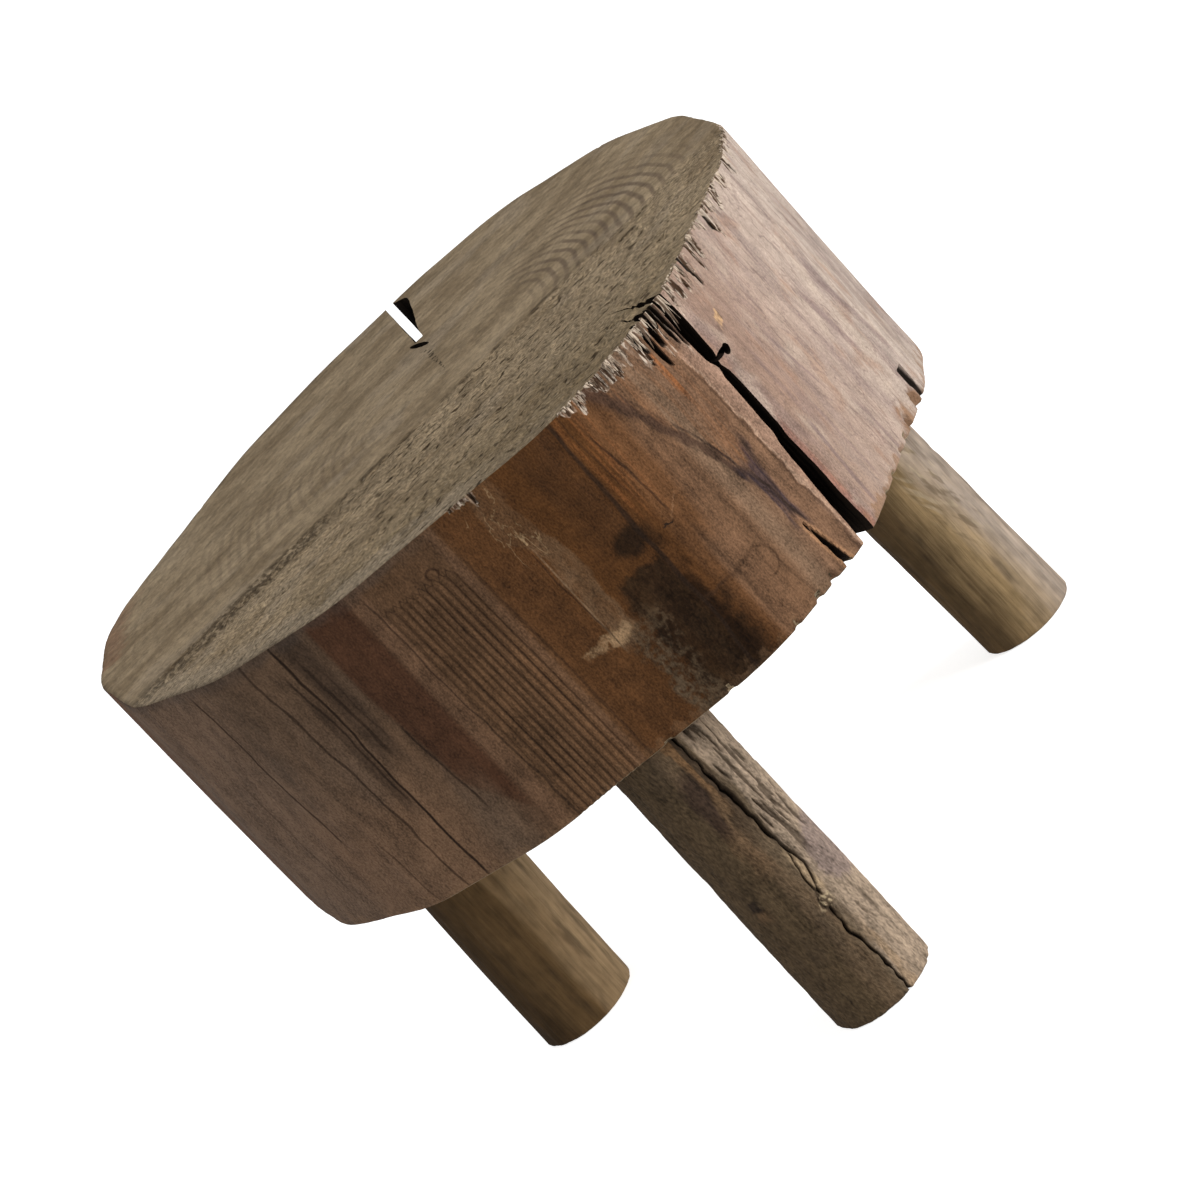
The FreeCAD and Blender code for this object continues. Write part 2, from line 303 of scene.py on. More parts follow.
def wrapped(bm, profile, columns):
    """A band of quads: a grid turned right round, each of its rows at a profile's (radius, height)."""
    rows = len(profile) - 1
    grid = bmesh.ops.create_grid(bm, x_segments=columns, y_segments=rows, size=0.5)["verts"]
    for vertex in grid:
        turn = (vertex.co.x + 0.5) * 2 * math.pi
        radius, height = profile[round((vertex.co.y + 0.5) * rows)]
        vertex.co = (radius * math.cos(turn), radius * math.sin(turn), height)
    bmesh.ops.remove_doubles(bm, verts=grid, dist=1e-4)


def level_rings(start, end, height, spacing):
    """Profile points on one end of the log, from one radius to another."""
    count = max(2, round(abs(end - start) / spacing) + 1)
    return [(radius, height) for radius in np.linspace(start, end, count)]


def open_edges(bm, radius, height):
    """The open ring of edges at a radius and a height."""
    def lies_there(vertex):
        return abs(vertex.co.xy.length - radius) < 0.01 and abs(vertex.co.z - height) < 0.01
    return [edge for edge in bm.edges if edge.is_boundary and all(map(lies_there, edge.verts))]


# Rows of the side, as drops under the top and rises above the foot: close together where the rim is torn
torn_rows = [0.9, 1.9, 3, 4.2, 5.5, 6.8, 8.2, 9.6, 11, 12.5, 14, 15.8, 17.8, 20]
foot_rows = [13, 10.5, 8.5, 7, 5.5, 4]
long_rows = np.arange(TOP - torn_rows[-1] - SPACING_SIDE, UNDERSIDE + foot_rows[0] + 1, -SPACING_SIDE)
side = [(NOMINAL, TOP - drop) for drop in torn_rows]
side += [(NOMINAL, height) for height in long_rows]
side += [(NOMINAL, UNDERSIDE + rise) for rise in foot_rows]
top_arris = [(NOMINAL - 0.9, TOP), (NOMINAL - 0.25, TOP - 0.25)]
foot_arris = [
    (NOMINAL - 0.1, UNDERSIDE + 1.6), (NOMINAL - 0.35, UNDERSIDE + 0.6), (NOMINAL - 1.2, UNDERSIDE + 0.08),
]

# Bands inside the rim: radius of the open ring that a band is joined to, its own outer and inner radius,
# height and spacing, and how many times fewer columns it has
BANDS = (
    (RIM_TOP, 136, 86, TOP, SPACING_TOP, 2), (86, 84, 36, TOP, 2.2, 4), (36, 34, 0, TOP, 2.4, 8),
    (RIM_FOOT, 146, 0, UNDERSIDE, 9, 8),
)

blank = bmesh.new()
rim_top = level_rings(RIM_TOP, NOMINAL - 2.2, TOP, SPACING_TOP)
rim_foot = level_rings(NOMINAL - 4, RIM_FOOT, UNDERSIDE, 4)
wrapped(blank, rim_top + top_arris + side + foot_arris + rim_foot, RIM_COLUMNS)
for joined, outer, inner, height, spacing, fewer in BANDS:
    wrapped(blank, level_rings(outer, inner, height, spacing), RIM_COLUMNS // fewer)
for joined, outer, inner, height, spacing, fewer in BANDS:
    rings = open_edges(blank, joined, height) + open_edges(blank, outer, height)
    bmesh.ops.bridge_loops(blank, edges=rings)
bmesh.ops.recalc_face_normals(blank, faces=blank.faces)
stray = [edge for edge in blank.edges if not edge.is_manifold]
seat = object_from(blank, "log_seat")
print(f"blank: {len(seat.data.polygons)} faces, {len(stray)} open edges")

# %% [markdown]
# ## Hew, split and tear the side
# The side is shaped by how deep each spot lies under the hewn outline, and nothing stands out past it. Each
# mark is its own small function of the bearing and the height: broad axe marks, long grain, a patch of
# weathered ridges, hairline checks, the dark split beside the front check, chips on the lower edge, and
# the comb of torn fibres that the saw left on the right of the rim.

# %% Marks on the side
# Each check: width and depth in mm, then points of (height, bearing) along it
HAIR_CHECKS = (
    (1.2, 1.3, (TOP, -126.2), (215, -126.0), (UNDERSIDE, -125.7)),
    (3.6, 3.2, (TOP, 141), (232, 140.2), (190, 140.8), (UNDERSIDE, 139.4)),
    (3.2, 2.6, (TOP, 52), (236, 53.2), (190, 52.6)),
    (3.4, 3.0, (240, 172), (200, 171), (UNDERSIDE, 171.6)),
    (3.0, 2.0, (TOP, 20), (244, 20.8), (200, 20.2)),
    (3.0, 2.4, (218, 96), (184, 96.8), (UNDERSIDE, 96.2)),
)
# Deep splinter gaps and chips: width, depth, then (height, bearing) of both ends
SPLITS = (
    (2.2, 7.0, (TOP, -60.2), (259, -60.1)),
    (2.6, 8.0, (TOP, -58.6), (266, -59.0)),
    (1.6, 6.0, (TOP, -57.0), (262, -56.8)),
    (1.4, 5.0, (TOP, -56.2), (258, -56.0)),
    (1.6, 4.0, (TOP, -61.6), (268, -61.4)),
    (5.0, 14.0, (165, -16.6), (UNDERSIDE, -16.3)),
    (2.2, 3.0, (TOP, -44.3), (264, -44.1)),
    (2.6, 3.5, (TOP, -30.6), (268, -30.2)),
    (1.6, 2.0, (TOP, -12.5), (270, -12.3)),
)
# Chips out of the lower edge: bearing, width, height and depth
CHIPS = (
    (-19.2, 7, 11, 6), (-25.6, 6, 8, 5), (-29.5, 5, 4, 3), (-33.5, 4, 3, 2), (-40, 6, 3, 2),
    (-63.5, 5, 6, 4), (-67, 5, 4, 3), (-72, 4, 3, 2), (-84, 5, 3, 2), (-95, 6, 2.5, 1.5),
    (-45, 5, 2.5, 1.5), (40, 8, 5, 3), (120, 9, 4, 3), (165, 6, 4, 2),
)
# Height of the torn fringe under the top, by bearing
FRINGE = (
    (-100, 0), (-96, 0), (-94, 5), (-92, 5), (-91, 0), (-78, 0), (-75, 4), (-70, 7), (-64, 8), (-61, 17),
    (-55, 17), (-52, 8), (-46, 7), (-41, 10), (-36, 6), (-30, 10), (-24, 6), (-16, 8), (-6, 5), (4, 2),
    (12, 0),
)
# Axe marks and grain of the side: mean depth, size of the lumps and seed
SIDE_HOLLOWS = (
    (0.4, (45, 45, 90), 1), (0.25, (22, 22, 30), 4), (0.15, (7, 7, 90), 2), (0.12, (2.2, 2.2, 14), 3),
)
# The weathered ridges: their bearings, arched top, pitch and depth in mm, how their spacing drifts, and
# the curl that ends them as bearing, height and radius
RIDGE_LEFT = -110.5
RIDGE_RIGHT = -99.8
RIDGE_LEAN = 0.008
RIDGE_TOP = 265.5
ARCH_FALL = 0.3
ARCH_HEIGHT = 1.2
RIDGE_PITCH = 3.1
RIDGE_DEPTH = 0.8
RIDGE_DRIFT = 0.14
DRIFT_LENGTH = 4.3
CURL = (-102.8, 264.5, 2.6)
# The small vee left of the front check: where it closes, how far below that it is widest, and its size in mm
WEDGE_TOP = 173
WEDGE_RISE = 25
WEDGE_HALF = 1.7
WEDGE_DEPTH = 9


def ridges(bearing, height):
    """Upright grooves, 0 to 1 deep, worn into soft early wood; arched at the top, with one curl."""
    upright = bearing + RIDGE_LEAN * (height - MIDDLE)
    across = np.radians(upright) * NOMINAL
    turns = across / RIDGE_PITCH + RIDGE_DRIFT * np.sin(across / DRIFT_LENGTH)
    wave = np.sin(turns * 2 * math.pi)
    arch = RIDGE_TOP - ARCH_FALL * (bearing - RIDGE_LEFT) - ARCH_HEIGHT * (1 + wave)
    inside = ease(upright, RIDGE_LEFT - 0.2, RIDGE_LEFT + 0.4)
    inside = inside * (1 - ease(upright, RIDGE_RIGHT - 0.4, RIDGE_RIGHT + 0.3))
    grooves = inside * np.power(0.5 + 0.5 * wave, 1.3) * (1 - ease(height, arch - 0.8, arch + 0.6))
    middle, level, size = CURL
    ring = np.hypot((bearing - middle) * np.radians(NOMINAL), height - level) - size
    return np.maximum(grooves, np.exp(-np.square(ring / 0.7)) * (height > level - 1.5))


def hairline(bearing, height, radius, width, depth, *points):
    """A narrow vee along a line of (height, bearing)."""
    middle = follow(height, *points)
    gap = np.abs(bearing - middle) * np.radians(radius)
    low, high = min(points)[0], max(points)[0]
    inside = ease(height, low - 6, low + 1) * (1 - ease(height, high - 1, high + 6))
    return depth * np.clip(1 - gap / (width / 2), 0, 1) * inside


def split(bearing, height, radius, width, depth, *points):
    """A gap with steep cheeks that starts at an edge and closes at its far end."""
    middle = follow(height, *points)
    gap = np.abs(bearing - middle) * np.radians(radius)
    low, high = min(points)[0], max(points)[0]
    inside = ease(height, low - 1, low + 5) if low > UNDERSIDE else 1 - ease(height, high - 5, high + 1)
    return depth * inside * (1 - ease(gap, width * 0.25, width * 0.6))


def chip(bearing, height, radius, middle, width, tall, depth):
    """A bite out of the lower edge."""
    across = (bearing - middle) * np.radians(radius) / (width / 2)
    rise = (height - UNDERSIDE) / tall
    return depth * np.clip(1 - across ** 2 - rise ** 2, 0, 1)


def fringe_height(bearing, run):
    """How far the torn fringe hangs down, its tufts of uneven length."""
    flat = np.column_stack([run, np.zeros_like(run), np.zeros_like(run)])
    tufts = 1 + 0.5 * lumps(flat, (5, 1, 1), 21) + 0.6 * lumps(flat, (1.9, 1, 1), 22)
    return follow(bearing, *FRINGE) * np.clip(tufts, 0.1, 2)


def torn(bearing, height, run):
    """The fringe: a recess under the rim with fibres left standing in it."""
    reach = fringe_height(bearing, run)
    inside = ease(reach - (TOP - height), 0, 0.8) * ease(reach, 0.4, 1.5)
    spot = np.column_stack([run, np.zeros_like(run), height])
    comb = 0.5 + 0.5 * lumps(spot, (1.5, 1, 22), 23)
    return inside * (0.4 + 1.9 * ease(comb, 0.35, 0.75))


def wedge_split(bearing, height, radius):
    """The small dark vee that opens downwards, left of the front check."""
    middle = follow(height, (WEDGE_TOP - 1, -61.5), (UNDERSIDE, -60.2))
    half = WEDGE_HALF * np.clip((WEDGE_TOP - height) / WEDGE_RISE, 0, 1)
    gap = np.abs(bearing - middle) * np.radians(radius)
    return WEDGE_DEPTH * ease(half - gap, -0.4, 0.5) * (height < WEDGE_TOP)


def cracks(bearing, height):
    """How deep the checks, splits and the vee cut into the side, in mm."""
    radius = rim_radius(bearing)
    depth = wedge_split(bearing, height, radius)
    for mark in HAIR_CHECKS:
        depth = np.maximum(depth, hairline(bearing, height, radius, *mark))
    for mark in SPLITS:
        depth = np.maximum(depth, split(bearing, height, radius, *mark))
    return depth


def sunk(bearing, height):
    """How deep the side lies under the hewn outline, in mm."""
    radius = rim_radius(bearing)
    ray = np.radians(bearing)
    spot = np.column_stack([radius * np.cos(ray), radius * np.sin(ray), height])
    depth = hollows(spot, *SIDE_HOLLOWS) + RIDGE_DEPTH * ridges(bearing, height)
    for mark in CHIPS:
        depth += chip(bearing, height, radius, *mark)
    depth = np.maximum(depth, torn(bearing, height, ray * NOMINAL))
    return np.maximum(depth, cracks(bearing, height))


print(f"{len(HAIR_CHECKS)} hairline checks, {len(SPLITS)} splits, {len(CHIPS)} chips")

# %% [markdown]
# ## Saw marks on the top
# The top was cut in two passes from opposite sides: they meet in a ragged line, and the nearer half stayed
# rough, with short torn pits along the saw's path. The late wood of each growth ring stands a little proud
# on the right, where the surface is cleanest.

# %% Marks on the ends of the log
SAW_BEARING = 14.2
SAW_LINE = -33.5
RING_PITCH = 6.0


def saw_axes(places):
    """Places along the saw's path and across it, in mm."""
    path = math.radians(SAW_BEARING)
    along = places[:, 0] * math.cos(path) + places[:, 1] * math.sin(path)
    across = places[:, 1] * math.cos(path) - places[:, 0] * math.sin(path)
    return along, across


def sawn(places):
    """How far the top lies under its highest point, in mm."""
    along, across = saw_axes(places)
    bearing, distance = polar(places)
    spot = np.column_stack([along, across, np.zeros_like(along)])
    line = SAW_LINE + 2.5 * lumps(spot, (30, 60, 1), 31)
    rough = 1 - ease(across - line, -1.5, 1.5)
    depth = hollows(spot, (0.1, (60, 40, 1), 32)) + 0.4 * rough
    pits = ease(lumps(spot, (7, 2.2, 1), 33), 0.25, 0.7)
    depth += pits * (0.15 + 0.7 * rough) * ease(rim_radius(bearing) - distance, 3, 12)
    ring = np.sin(distance * 2 * math.pi / RING_PITCH)
    clean = ease(distance, 40, 90) * (1 - 0.8 * rough)
    return depth + 0.05 * clean * (1 + ring)


# %% Shape the blank
FRONT_TURN = math.radians(-75)
CROWDING = 0.45


def crowded(places):
    """The turn of each point in radians, once the columns have moved closer together at the front."""
    turn = np.arctan2(places[:, 1], places[:, 0])
    return turn - CROWDING * np.sin(turn - FRONT_TURN)


blank_places = read_places(seat.data, unit=1)
direction = crowded(blank_places)
turned = np.degrees(direction)
share = np.hypot(blank_places[:, 0], blank_places[:, 1]) / NOMINAL
height = blank_places[:, 2]
edge = ease(share, 0.94, 0.995)
radius = share * (rim_radius(turned) - edge * sunk(turned, height))
shaped = np.column_stack([
    PITH[0] + radius * np.cos(direction), PITH[1] + radius * np.sin(direction), height,
])
near_top = ease(height, TOP - 6, TOP - 0.5)
shaped[:, 2] -= sawn(shaped) * near_top
write_places(seat.data, shaped)
print(f"shaped {len(shaped)} points of the seat")

# %% [markdown]
# ## The open checks and the mortises
# A log dries fastest at its rim, so it opens there in radial checks. The front one runs from top to foot,
# nips shut at a knot and gapes again below. The rear one is an open slit that light passes through. Each is
# a thin slab with ragged cheeks, taken out of the seat with a boolean, which leaves true inner walls. The
# three blind mortises are bored the same way, so that the legs go in as on the real stool.

CHECK_COLUMNS = 28
CHECK_ROWS = 70
OVERSHOOT = 8


def slab(name, along, up):
    """A closed sheet from 0 to 1 along x and y, whose cheeks lie at z = -1 and z = 1."""
    bm = bmesh.new()
    bmesh.ops.create_grid(bm, x_segments=along, y_segments=up, size=0.5)
    bmesh.ops.translate(bm, verts=bm.verts, vec=(0.5, 0.5, -1))
    lifted = bmesh.ops.extrude_face_region(bm, geom=bm.faces[:], use_keep_orig=True)
    cheek = [item for item in lifted["geom"] if isinstance(item, bmesh.types.BMVert)]
    bmesh.ops.translate(bm, verts=cheek, vec=(0, 0, 2))
    bmesh.ops.recalc_face_normals(bm, faces=bm.faces)
    return object_from(bm, name)


def check_cutter(name, bearing, inner, half_width, drift, ragged, seed):
    """A slab along a ray from the pith; half_width takes height, share of the way out and cheek."""
    cutter = slab(name, CHECK_COLUMNS, CHECK_ROWS)
    unit = read_places(cutter.data, unit=1)
    # The sheet lies the other way round from the ray's own axes, so its cheeks change places
    out, rise, cheek = unit[:, 0], unit[:, 1], -np.sign(unit[:, 2])
    height = UNDERSIDE - OVERSHOOT + rise * (TOP - UNDERSIDE + 2 * OVERSHOOT)
    start = inner(height)
    reach = start + out * (rim_radius(bearing) + OVERSHOOT - start)
    spot = np.column_stack([reach, cheek * 50, height])
    half = half_width(height, out, cheek)
    rough = lumps(spot, (9, 1, 12), seed) + 0.6 * lumps(spot, (3, 1, 5), seed + 1)
    aside = drift(height) + cheek * half + ragged * np.minimum(1, half) * rough
    ray = math.radians(bearing)
    write_places(cutter.data, np.column_stack([
        PITH[0] + reach * math.cos(ray) - aside * math.sin(ray),
        PITH[1] + reach * math.sin(ray) + aside * math.cos(ray), height,
    ]))
    return cutter


def front_half(height, out, cheek):
    """Half the front check's gap: shut at the knot, widest at the foot, closing towards the pith."""
    low_part = ((148, 5.2), (172, 4.5), (203, 3.5), (211, 2.9), (238, 2.7), (243, 0.9))
    rim = follow(height, *low_part, (248, 3.6), (262, 4.4), (282, 4.6))
    closing = follow(height, (148, 1.0), (255, 1.4), (278, 2.0))
    return 0.12 + rim * np.power(out, closing)


def front_drift(height):
    """How far the front check's middle strays to the left (minus) or right, seen from outside."""
    return follow(height, (148, -0.9), (203, -0.6), (208, 0.7), (240, 0.9), (250, 0.4), (282, 0.0))


def rear_half(height, out, cheek):
    """Half the rear check's gap: a slit with a blunt end, and a pocket in its right cheek behind a lip."""
    pocket = 6.5 * ease(out, 0.0, 0.8) * (1 - ease(out, 0.8, 0.9)) * ease(height, 225, 250)
    return (2.25 + pocket * (cheek < 0)) * follow(height, (UNDERSIDE, 0.5), (250, 1.0))


front_cutter = check_cutter(
    "front_check", -54.5, lambda height: follow(height, (UNDERSIDE, 78), (255, 84), (TOP, 132)),
    front_half, front_drift, ragged=0.35, seed=41,
)
rear_cutter = check_cutter(
    "rear_check", 97, lambda height: follow(height, (UNDERSIDE, 96), (TOP, 81)),
    rear_half, lambda height: 0.2 * np.sin(height / 14), ragged=0.2, seed=45,
)


def pit_cutter(name, bearing, distance, height, size, twist=0):
    """An egg-shaped hollow: its size is along the rim, inwards and upright."""
    bm = bmesh.new()
    bmesh.ops.create_icosphere(bm, subdivisions=3, radius=1)
    bmesh.ops.scale(bm, verts=bm.verts, vec=(size[1], size[0], size[2]))
    bmesh.ops.rotate(bm, verts=bm.verts, matrix=Matrix.Rotation(math.radians(bearing + twist), 3, "Z"))
    ray = math.radians(bearing)
    middle = (PITH[0] + distance * math.cos(ray), PITH[1] + distance * math.sin(ray), height)
    bmesh.ops.translate(bm, verts=bm.verts, vec=middle)
    bmesh.ops.scale(bm, verts=bm.verts, vec=(MM, MM, MM))
    return object_from(bm, name)


knot_cutters = [
    pit_cutter("knot_tail", -52.4, rim_radius(-52.4), 245.2, (5.2, 9, 1.4)),
    pit_cutter("knot_hole", -50.9, rim_radius(-50.9), 244.0, (2.7, 11, 2.5)),
    pit_cutter("rim_gap", -57.9, rim_radius(-57.9), 281, (2.1, 13, 8)),
    pit_cutter("rim_trace", -58.3, rim_radius(-58.3) - 9, TOP, (0.7, 13, 2.5), twist=-6),
    pit_cutter("rear_nick", 98.4, 72, TOP, (1.9, 10, 5), twist=20),
]
print("cutters:", front_cutter.name, rear_cutter.name, [cutter.name for cutter in knot_cutters])

# %% Cutters for the mortises
TENON_RADIUS = 18.0
TENON_LENGTH = 72
TENON_STRAIGHT = 28
TENON_FLARE = 1.2
MORTISE_SPARE = 3
JOINT_FIT = 0.1
BORE_COLUMNS = 72
feet = {mount["name"]: Vector(mount["pos_m"]) / MM for mount in frame["record"]["mounts"]}


def leg_axis(leg):
    """A leg's foot and its lean: how far its axis moves in x and y for each mm of height."""
    wedge = read_places(frame["nodes"][f"wedge_{leg}"].data)
    middle = np.unique(np.round(wedge, 3), axis=0).mean(axis=0)
    foot = np.array(feet[f"{leg}_foot"])
    return foot, (middle - foot)[:2] / (middle - foot)[2]


def lean_over(places, leg):
    """Stand upright places on a leg's leaning axis, with every row level."""
    foot, lean = leg_axis(leg)
    leaning = places.copy()
    leaning[:, :2] += foot[:2] + places[:, 2:3] * lean
    return leaning


def mortise_cutter(leg):
    """The bore for a tenon, with its flared floor."""
    wall = TENON_RADIUS + JOINT_FIT
    floor_height = UNDERSIDE + TENON_LENGTH + MORTISE_SPARE
    bm = bmesh.new()
    wrapped(bm, [
        (0, UNDERSIDE - OVERSHOOT), (wall, UNDERSIDE - OVERSHOOT), (wall, UNDERSIDE + TENON_STRAIGHT),
        (wall + TENON_FLARE, floor_height), (0, floor_height),
    ], BORE_COLUMNS)
    bmesh.ops.recalc_face_normals(bm, faces=bm.faces)
    cutter = object_from(bm, f"{leg}_mortise")
    write_places(cutter.data, lean_over(read_places(cutter.data, unit=1), leg))
    return cutter


# %% Cut them out
wall_marker = bpy.data.materials.new("check_wall_marker")


def carve(piece, cutter):
    """Take a cutter's shape out of a piece, and the cutter out of the scene."""
    cut = piece.modifiers.new("cut", "BOOLEAN")
    cut.operation = "DIFFERENCE"
    cut.solver = "MANIFOLD"
    cut.material_mode = "TRANSFER"
    cut.object = cutter
    whole_scene = bpy.context.evaluated_depsgraph_get()
    carved = bpy.data.meshes.new_from_object(piece.evaluated_get(whole_scene))
    piece.modifiers.clear()
    before = piece.data
    piece.data = carved
    bpy.data.meshes.remove(before)
    bpy.data.objects.remove(cutter)
    carved.name = piece.name


for cutter in (front_cutter, rear_cutter, *knot_cutters):
    cutter.data.materials.append(wall_marker)
    carve(seat, cutter)
for leg in LEGS:
    carve(seat, mortise_cutter(leg))
print(f"carved seat: {len(seat.data.polygons)} faces")

# %% [markdown]
# ## Torn fibres along the rim
# Where the saw came out of the wood it tore the last fibres instead of cutting them. They hang from the top
# edge as pale slivers. Each one is a short tapered blade, cut into a few lengths so that it can curl, and
# rooted a little inside the wood. Their places and sizes come from one seeded generator.

# %% Slivers
SLIVERS = 400
CLUMPS = 66
CLUMP_BEARINGS = (-78, 8)
SHORTEST = 1.2
# A blade of length 1, as (half width, height)
BLADE = ((0, 0), (0.5, 0), (0.55, -0.3), (0.4, -0.65), (0.2, -0.92), (0, -1))
chance = np.random.default_rng(11)


def add_sliver(bm, bearing, drop, length, width, lift, curl):
    """One blade: rooted at a drop under the top, hanging down along the side."""
    first = len(bm.verts)
    bm.from_mesh(blade)
    bm.verts.ensure_lookup_table()
    ray = math.radians(bearing)
    out = Vector((math.cos(ray), math.sin(ray), 0))
    side_way = Vector((-math.sin(ray), math.cos(ray), 0))
    root = Vector((*PITH, TOP - drop)) + out * (rim_radius(bearing) - lift)
    for vertex in bm.verts[first:]:
        along = -vertex.co.z
        across = vertex.co.x * width + curl * along * along
        proud = vertex.co.y * 0.55 * width + lift * 0.7 * along * (1.3 - along) - 0.4
        vertex.co = root + side_way * across + out * proud - Vector((0, 0, along * length))


blade_shape = bmesh.new()
wrapped(blade_shape, BLADE, 4)
# A blade is mirrored when it is placed, which turns its faces outwards, so here they start inwards
bmesh.ops.recalc_face_normals(blade_shape, faces=blade_shape.faces)
bmesh.ops.reverse_faces(blade_shape, faces=blade_shape.faces)
blade = bpy.data.meshes.new("blade")
blade_shape.to_mesh(blade)
blade_shape.free()
slivers = bmesh.new()
clump_middles = chance.uniform(*CLUMP_BEARINGS, CLUMPS)
clump_lengths = chance.uniform(0.3, 1.25, CLUMPS)
for _ in range(SLIVERS):
    clump = chance.integers(CLUMPS)
    bearing = clump_middles[clump] + chance.normal(0, 0.55)
    reach = float(np.interp(bearing, *zip(*FRINGE)))
    length = reach * clump_lengths[clump] * chance.uniform(0.3, 1.0)
    width = chance.uniform(0.3, 1.5)
    drop = chance.uniform(0.1, 0.8)
    lift = chance.uniform(1.0, 2.4)
    curl = chance.uniform(-1.8, 1.8)
    if length > SHORTEST:
        add_sliver(slivers, bearing, drop, length, width, lift, curl)
bmesh.ops.scale(slivers, verts=slivers.verts, vec=(MM, MM, MM))
fibres = object_from(slivers, "torn_fibres")
print(f"{len(fibres.data.polygons)} faces of torn fibre")

# %% [markdown]
# ## The legs
# Each leg is a peeled pole with a round tenon on top, so it is spun like the seat, from the sole to the end
# of the tenon. Peeling leaves the ripples of the young wood, and drying opens long fissures. The front pole
# has the deepest one, which parts round a knob of healed wood, and bark-like cracks on its right. Last, each
# tenon gets the kerf in which its wedge stands.

# %% Spun poles
POLE_COLUMNS = 240
POLE_ROWS = 120
SOLE_ARRIS = 1.5
SOLE_BAND = 4
SHOULDER_BAND = 1


def pole_radii(leg):
    """The pole's radius at the sole and under the seat, measured in the frame."""
    places = read_places(frame["nodes"][f"leg_{leg}"].data)
    foot, lean = leg_axis(leg)
    away = np.linalg.norm(places[:, :2] - foot[:2] - places[:, 2:3] * lean, axis=1)
    low = away[places[:, 2] < SOLE_BAND].max()
    high = away[np.abs(places[:, 2] - UNDERSIDE) < SHOULDER_BAND].max()
    return low, high


def spin_pole(leg):
    """The pole with its tenon, standing upright on the origin."""
    low, high = pole_radii(leg)
    rows = np.linspace(SOLE_ARRIS, UNDERSIDE - 0.2, POLE_ROWS)
    shaft = [(low + (high - low) * row / UNDERSIDE, row) for row in rows]
    sole = [(0, 0), (low * 0.35, 0), (low * 0.7, 0), (low - SOLE_ARRIS - 0.6, 0)]
    sole += [(low - SOLE_ARRIS, 0.05), (low - 0.5, 0.6)]
    shoulder = [(high - 0.4, UNDERSIDE), (TENON_RADIUS + 1, UNDERSIDE), (TENON_RADIUS, UNDERSIDE)]
    tenon = [
        (TENON_RADIUS, UNDERSIDE + TENON_STRAIGHT), (TENON_RADIUS + TENON_FLARE, UNDERSIDE + TENON_LENGTH),
        (TENON_RADIUS / 2, UNDERSIDE + TENON_LENGTH), (0, UNDERSIDE + TENON_LENGTH),
    ]
    bm = bmesh.new()
    wrapped(bm, sole + shaft + shoulder + tenon, POLE_COLUMNS)
    bmesh.ops.recalc_face_normals(bm, faces=bm.faces)
    return object_from(bm, f"pole_leg_{leg}")


# %% Skin and cracks of the poles
# The front pole's long check: points of height, and degrees right of its front
FRONT_FISSURE = (
    (148, 21), (118, 24), (96, 27), (80, 28.5), (68, 28.5), (57, 25), (46, 19.5), (38, 20), (30, 23),
    (0, 27.5),
)
# The bearing and height of the knob beside it
KNOB = (-65.5, 53)


def fissures(spot, width, length, amount, seed):
    """Upright lines where the drying skin has parted, in patches."""
    lines = np.abs(lumps(spot, (width, width, length), seed))
    patches = ease(lumps(spot, (16, 16, 30), seed + 1), -0.3, 0.3)
    return amount * (1 - ease(lines, 0.02, 0.22)) * patches


def pole_skin(leg, height, spot, seed):
    """How deep the peeled skin lies under the round, in mm: hollows, grain, and one pole's ripples."""
    depth = hollows(spot, (0.3, (14, 14, 45), seed), (0.2, (3, 3, 26), seed + 1))
    if leg == "front":
        depth += hollows(spot, (0.15, (1.2, 1.2, 3), 99))
    if leg == "right":
        slanted = spot + np.outer(height, (0.45, 0, 0))
        depth += 0.4 + 0.4 * lumps(slanted, (5, 5, 60), seed + 5) * ease(height, 50, 75)
    return depth


def front_cracks(bearing, height, radius, spot):
    """The front pole's long check, which parts round a knob, and slanting dashes on its right."""
    slanted = spot + np.outer(height, (0.17, 0, 0))
    dashes = ease(lumps(slanted, (1.6, 1.6, 34), 87), 0.14, 0.5)
    dashes += ease(lumps(slanted, (2.1, 2.1, 46), 88), 0.22, 0.6)
    right_half = ease(bearing, -60, -54) * (1 - ease(bearing, 20, 60))
    crack = 1.6 * dashes * right_half * (0.3 + 0.7 * ease(height, 62, 88))
    upright = spot * (0, 0, 1)
    stray = 1.6 * lumps(upright, (1, 1, 9), 91) + 1.4 * lumps(upright, (1, 1, 2.6), 92)
    bulge = np.sin(np.clip((height - 57) / 23, 0, 1) * math.pi)
    middle = -90 + follow(height, *FRONT_FISSURE) + stray
    gap = (bearing - middle - 4.5 * bulge) * np.radians(radius)
    half = follow(height, (0, 0.7), (60, 0.6), (84, 0.9), (112, 1.0), (124, 0.7), (148, 0.8))
    half = half * (1 + 0.7 * lumps(upright, (1, 1, 4), 94))
    crack += 4.5 * np.clip(1 - np.abs(gap) / half, 0, 1)
    hollow = follow(height, (0, 0.7), (64, 0.5), (90, 1.0), (148, 1.4))
    crack += np.where(gap < 0, hollow * np.exp(-np.square(gap / 2.6)), 0)
    twin = np.abs(bearing - middle + 5 * bulge) * np.radians(radius)
    crack += 2.2 * np.clip(1 - twin / 0.6, 0, 1) * ease(bulge, 0, 0.4)
    across = (bearing - KNOB[0]) * np.radians(radius)
    knob = np.hypot(across / 2.4, (height - KNOB[1]) / 5.2) + 0.35 * lumps(spot, (2, 2, 2.6), 93)
    moat = np.exp(-np.square((knob - 1.25) / 0.2)) * (1 - 0.7 * ease(across, -1, 2))
    dents = 0.5 * ease(lumps(spot, (1.6, 1.6, 2), 95), 0, 0.6) * (knob < 1)
    return crack * ease(knob, 0.7, 1.1) + 1.3 * moat + dents


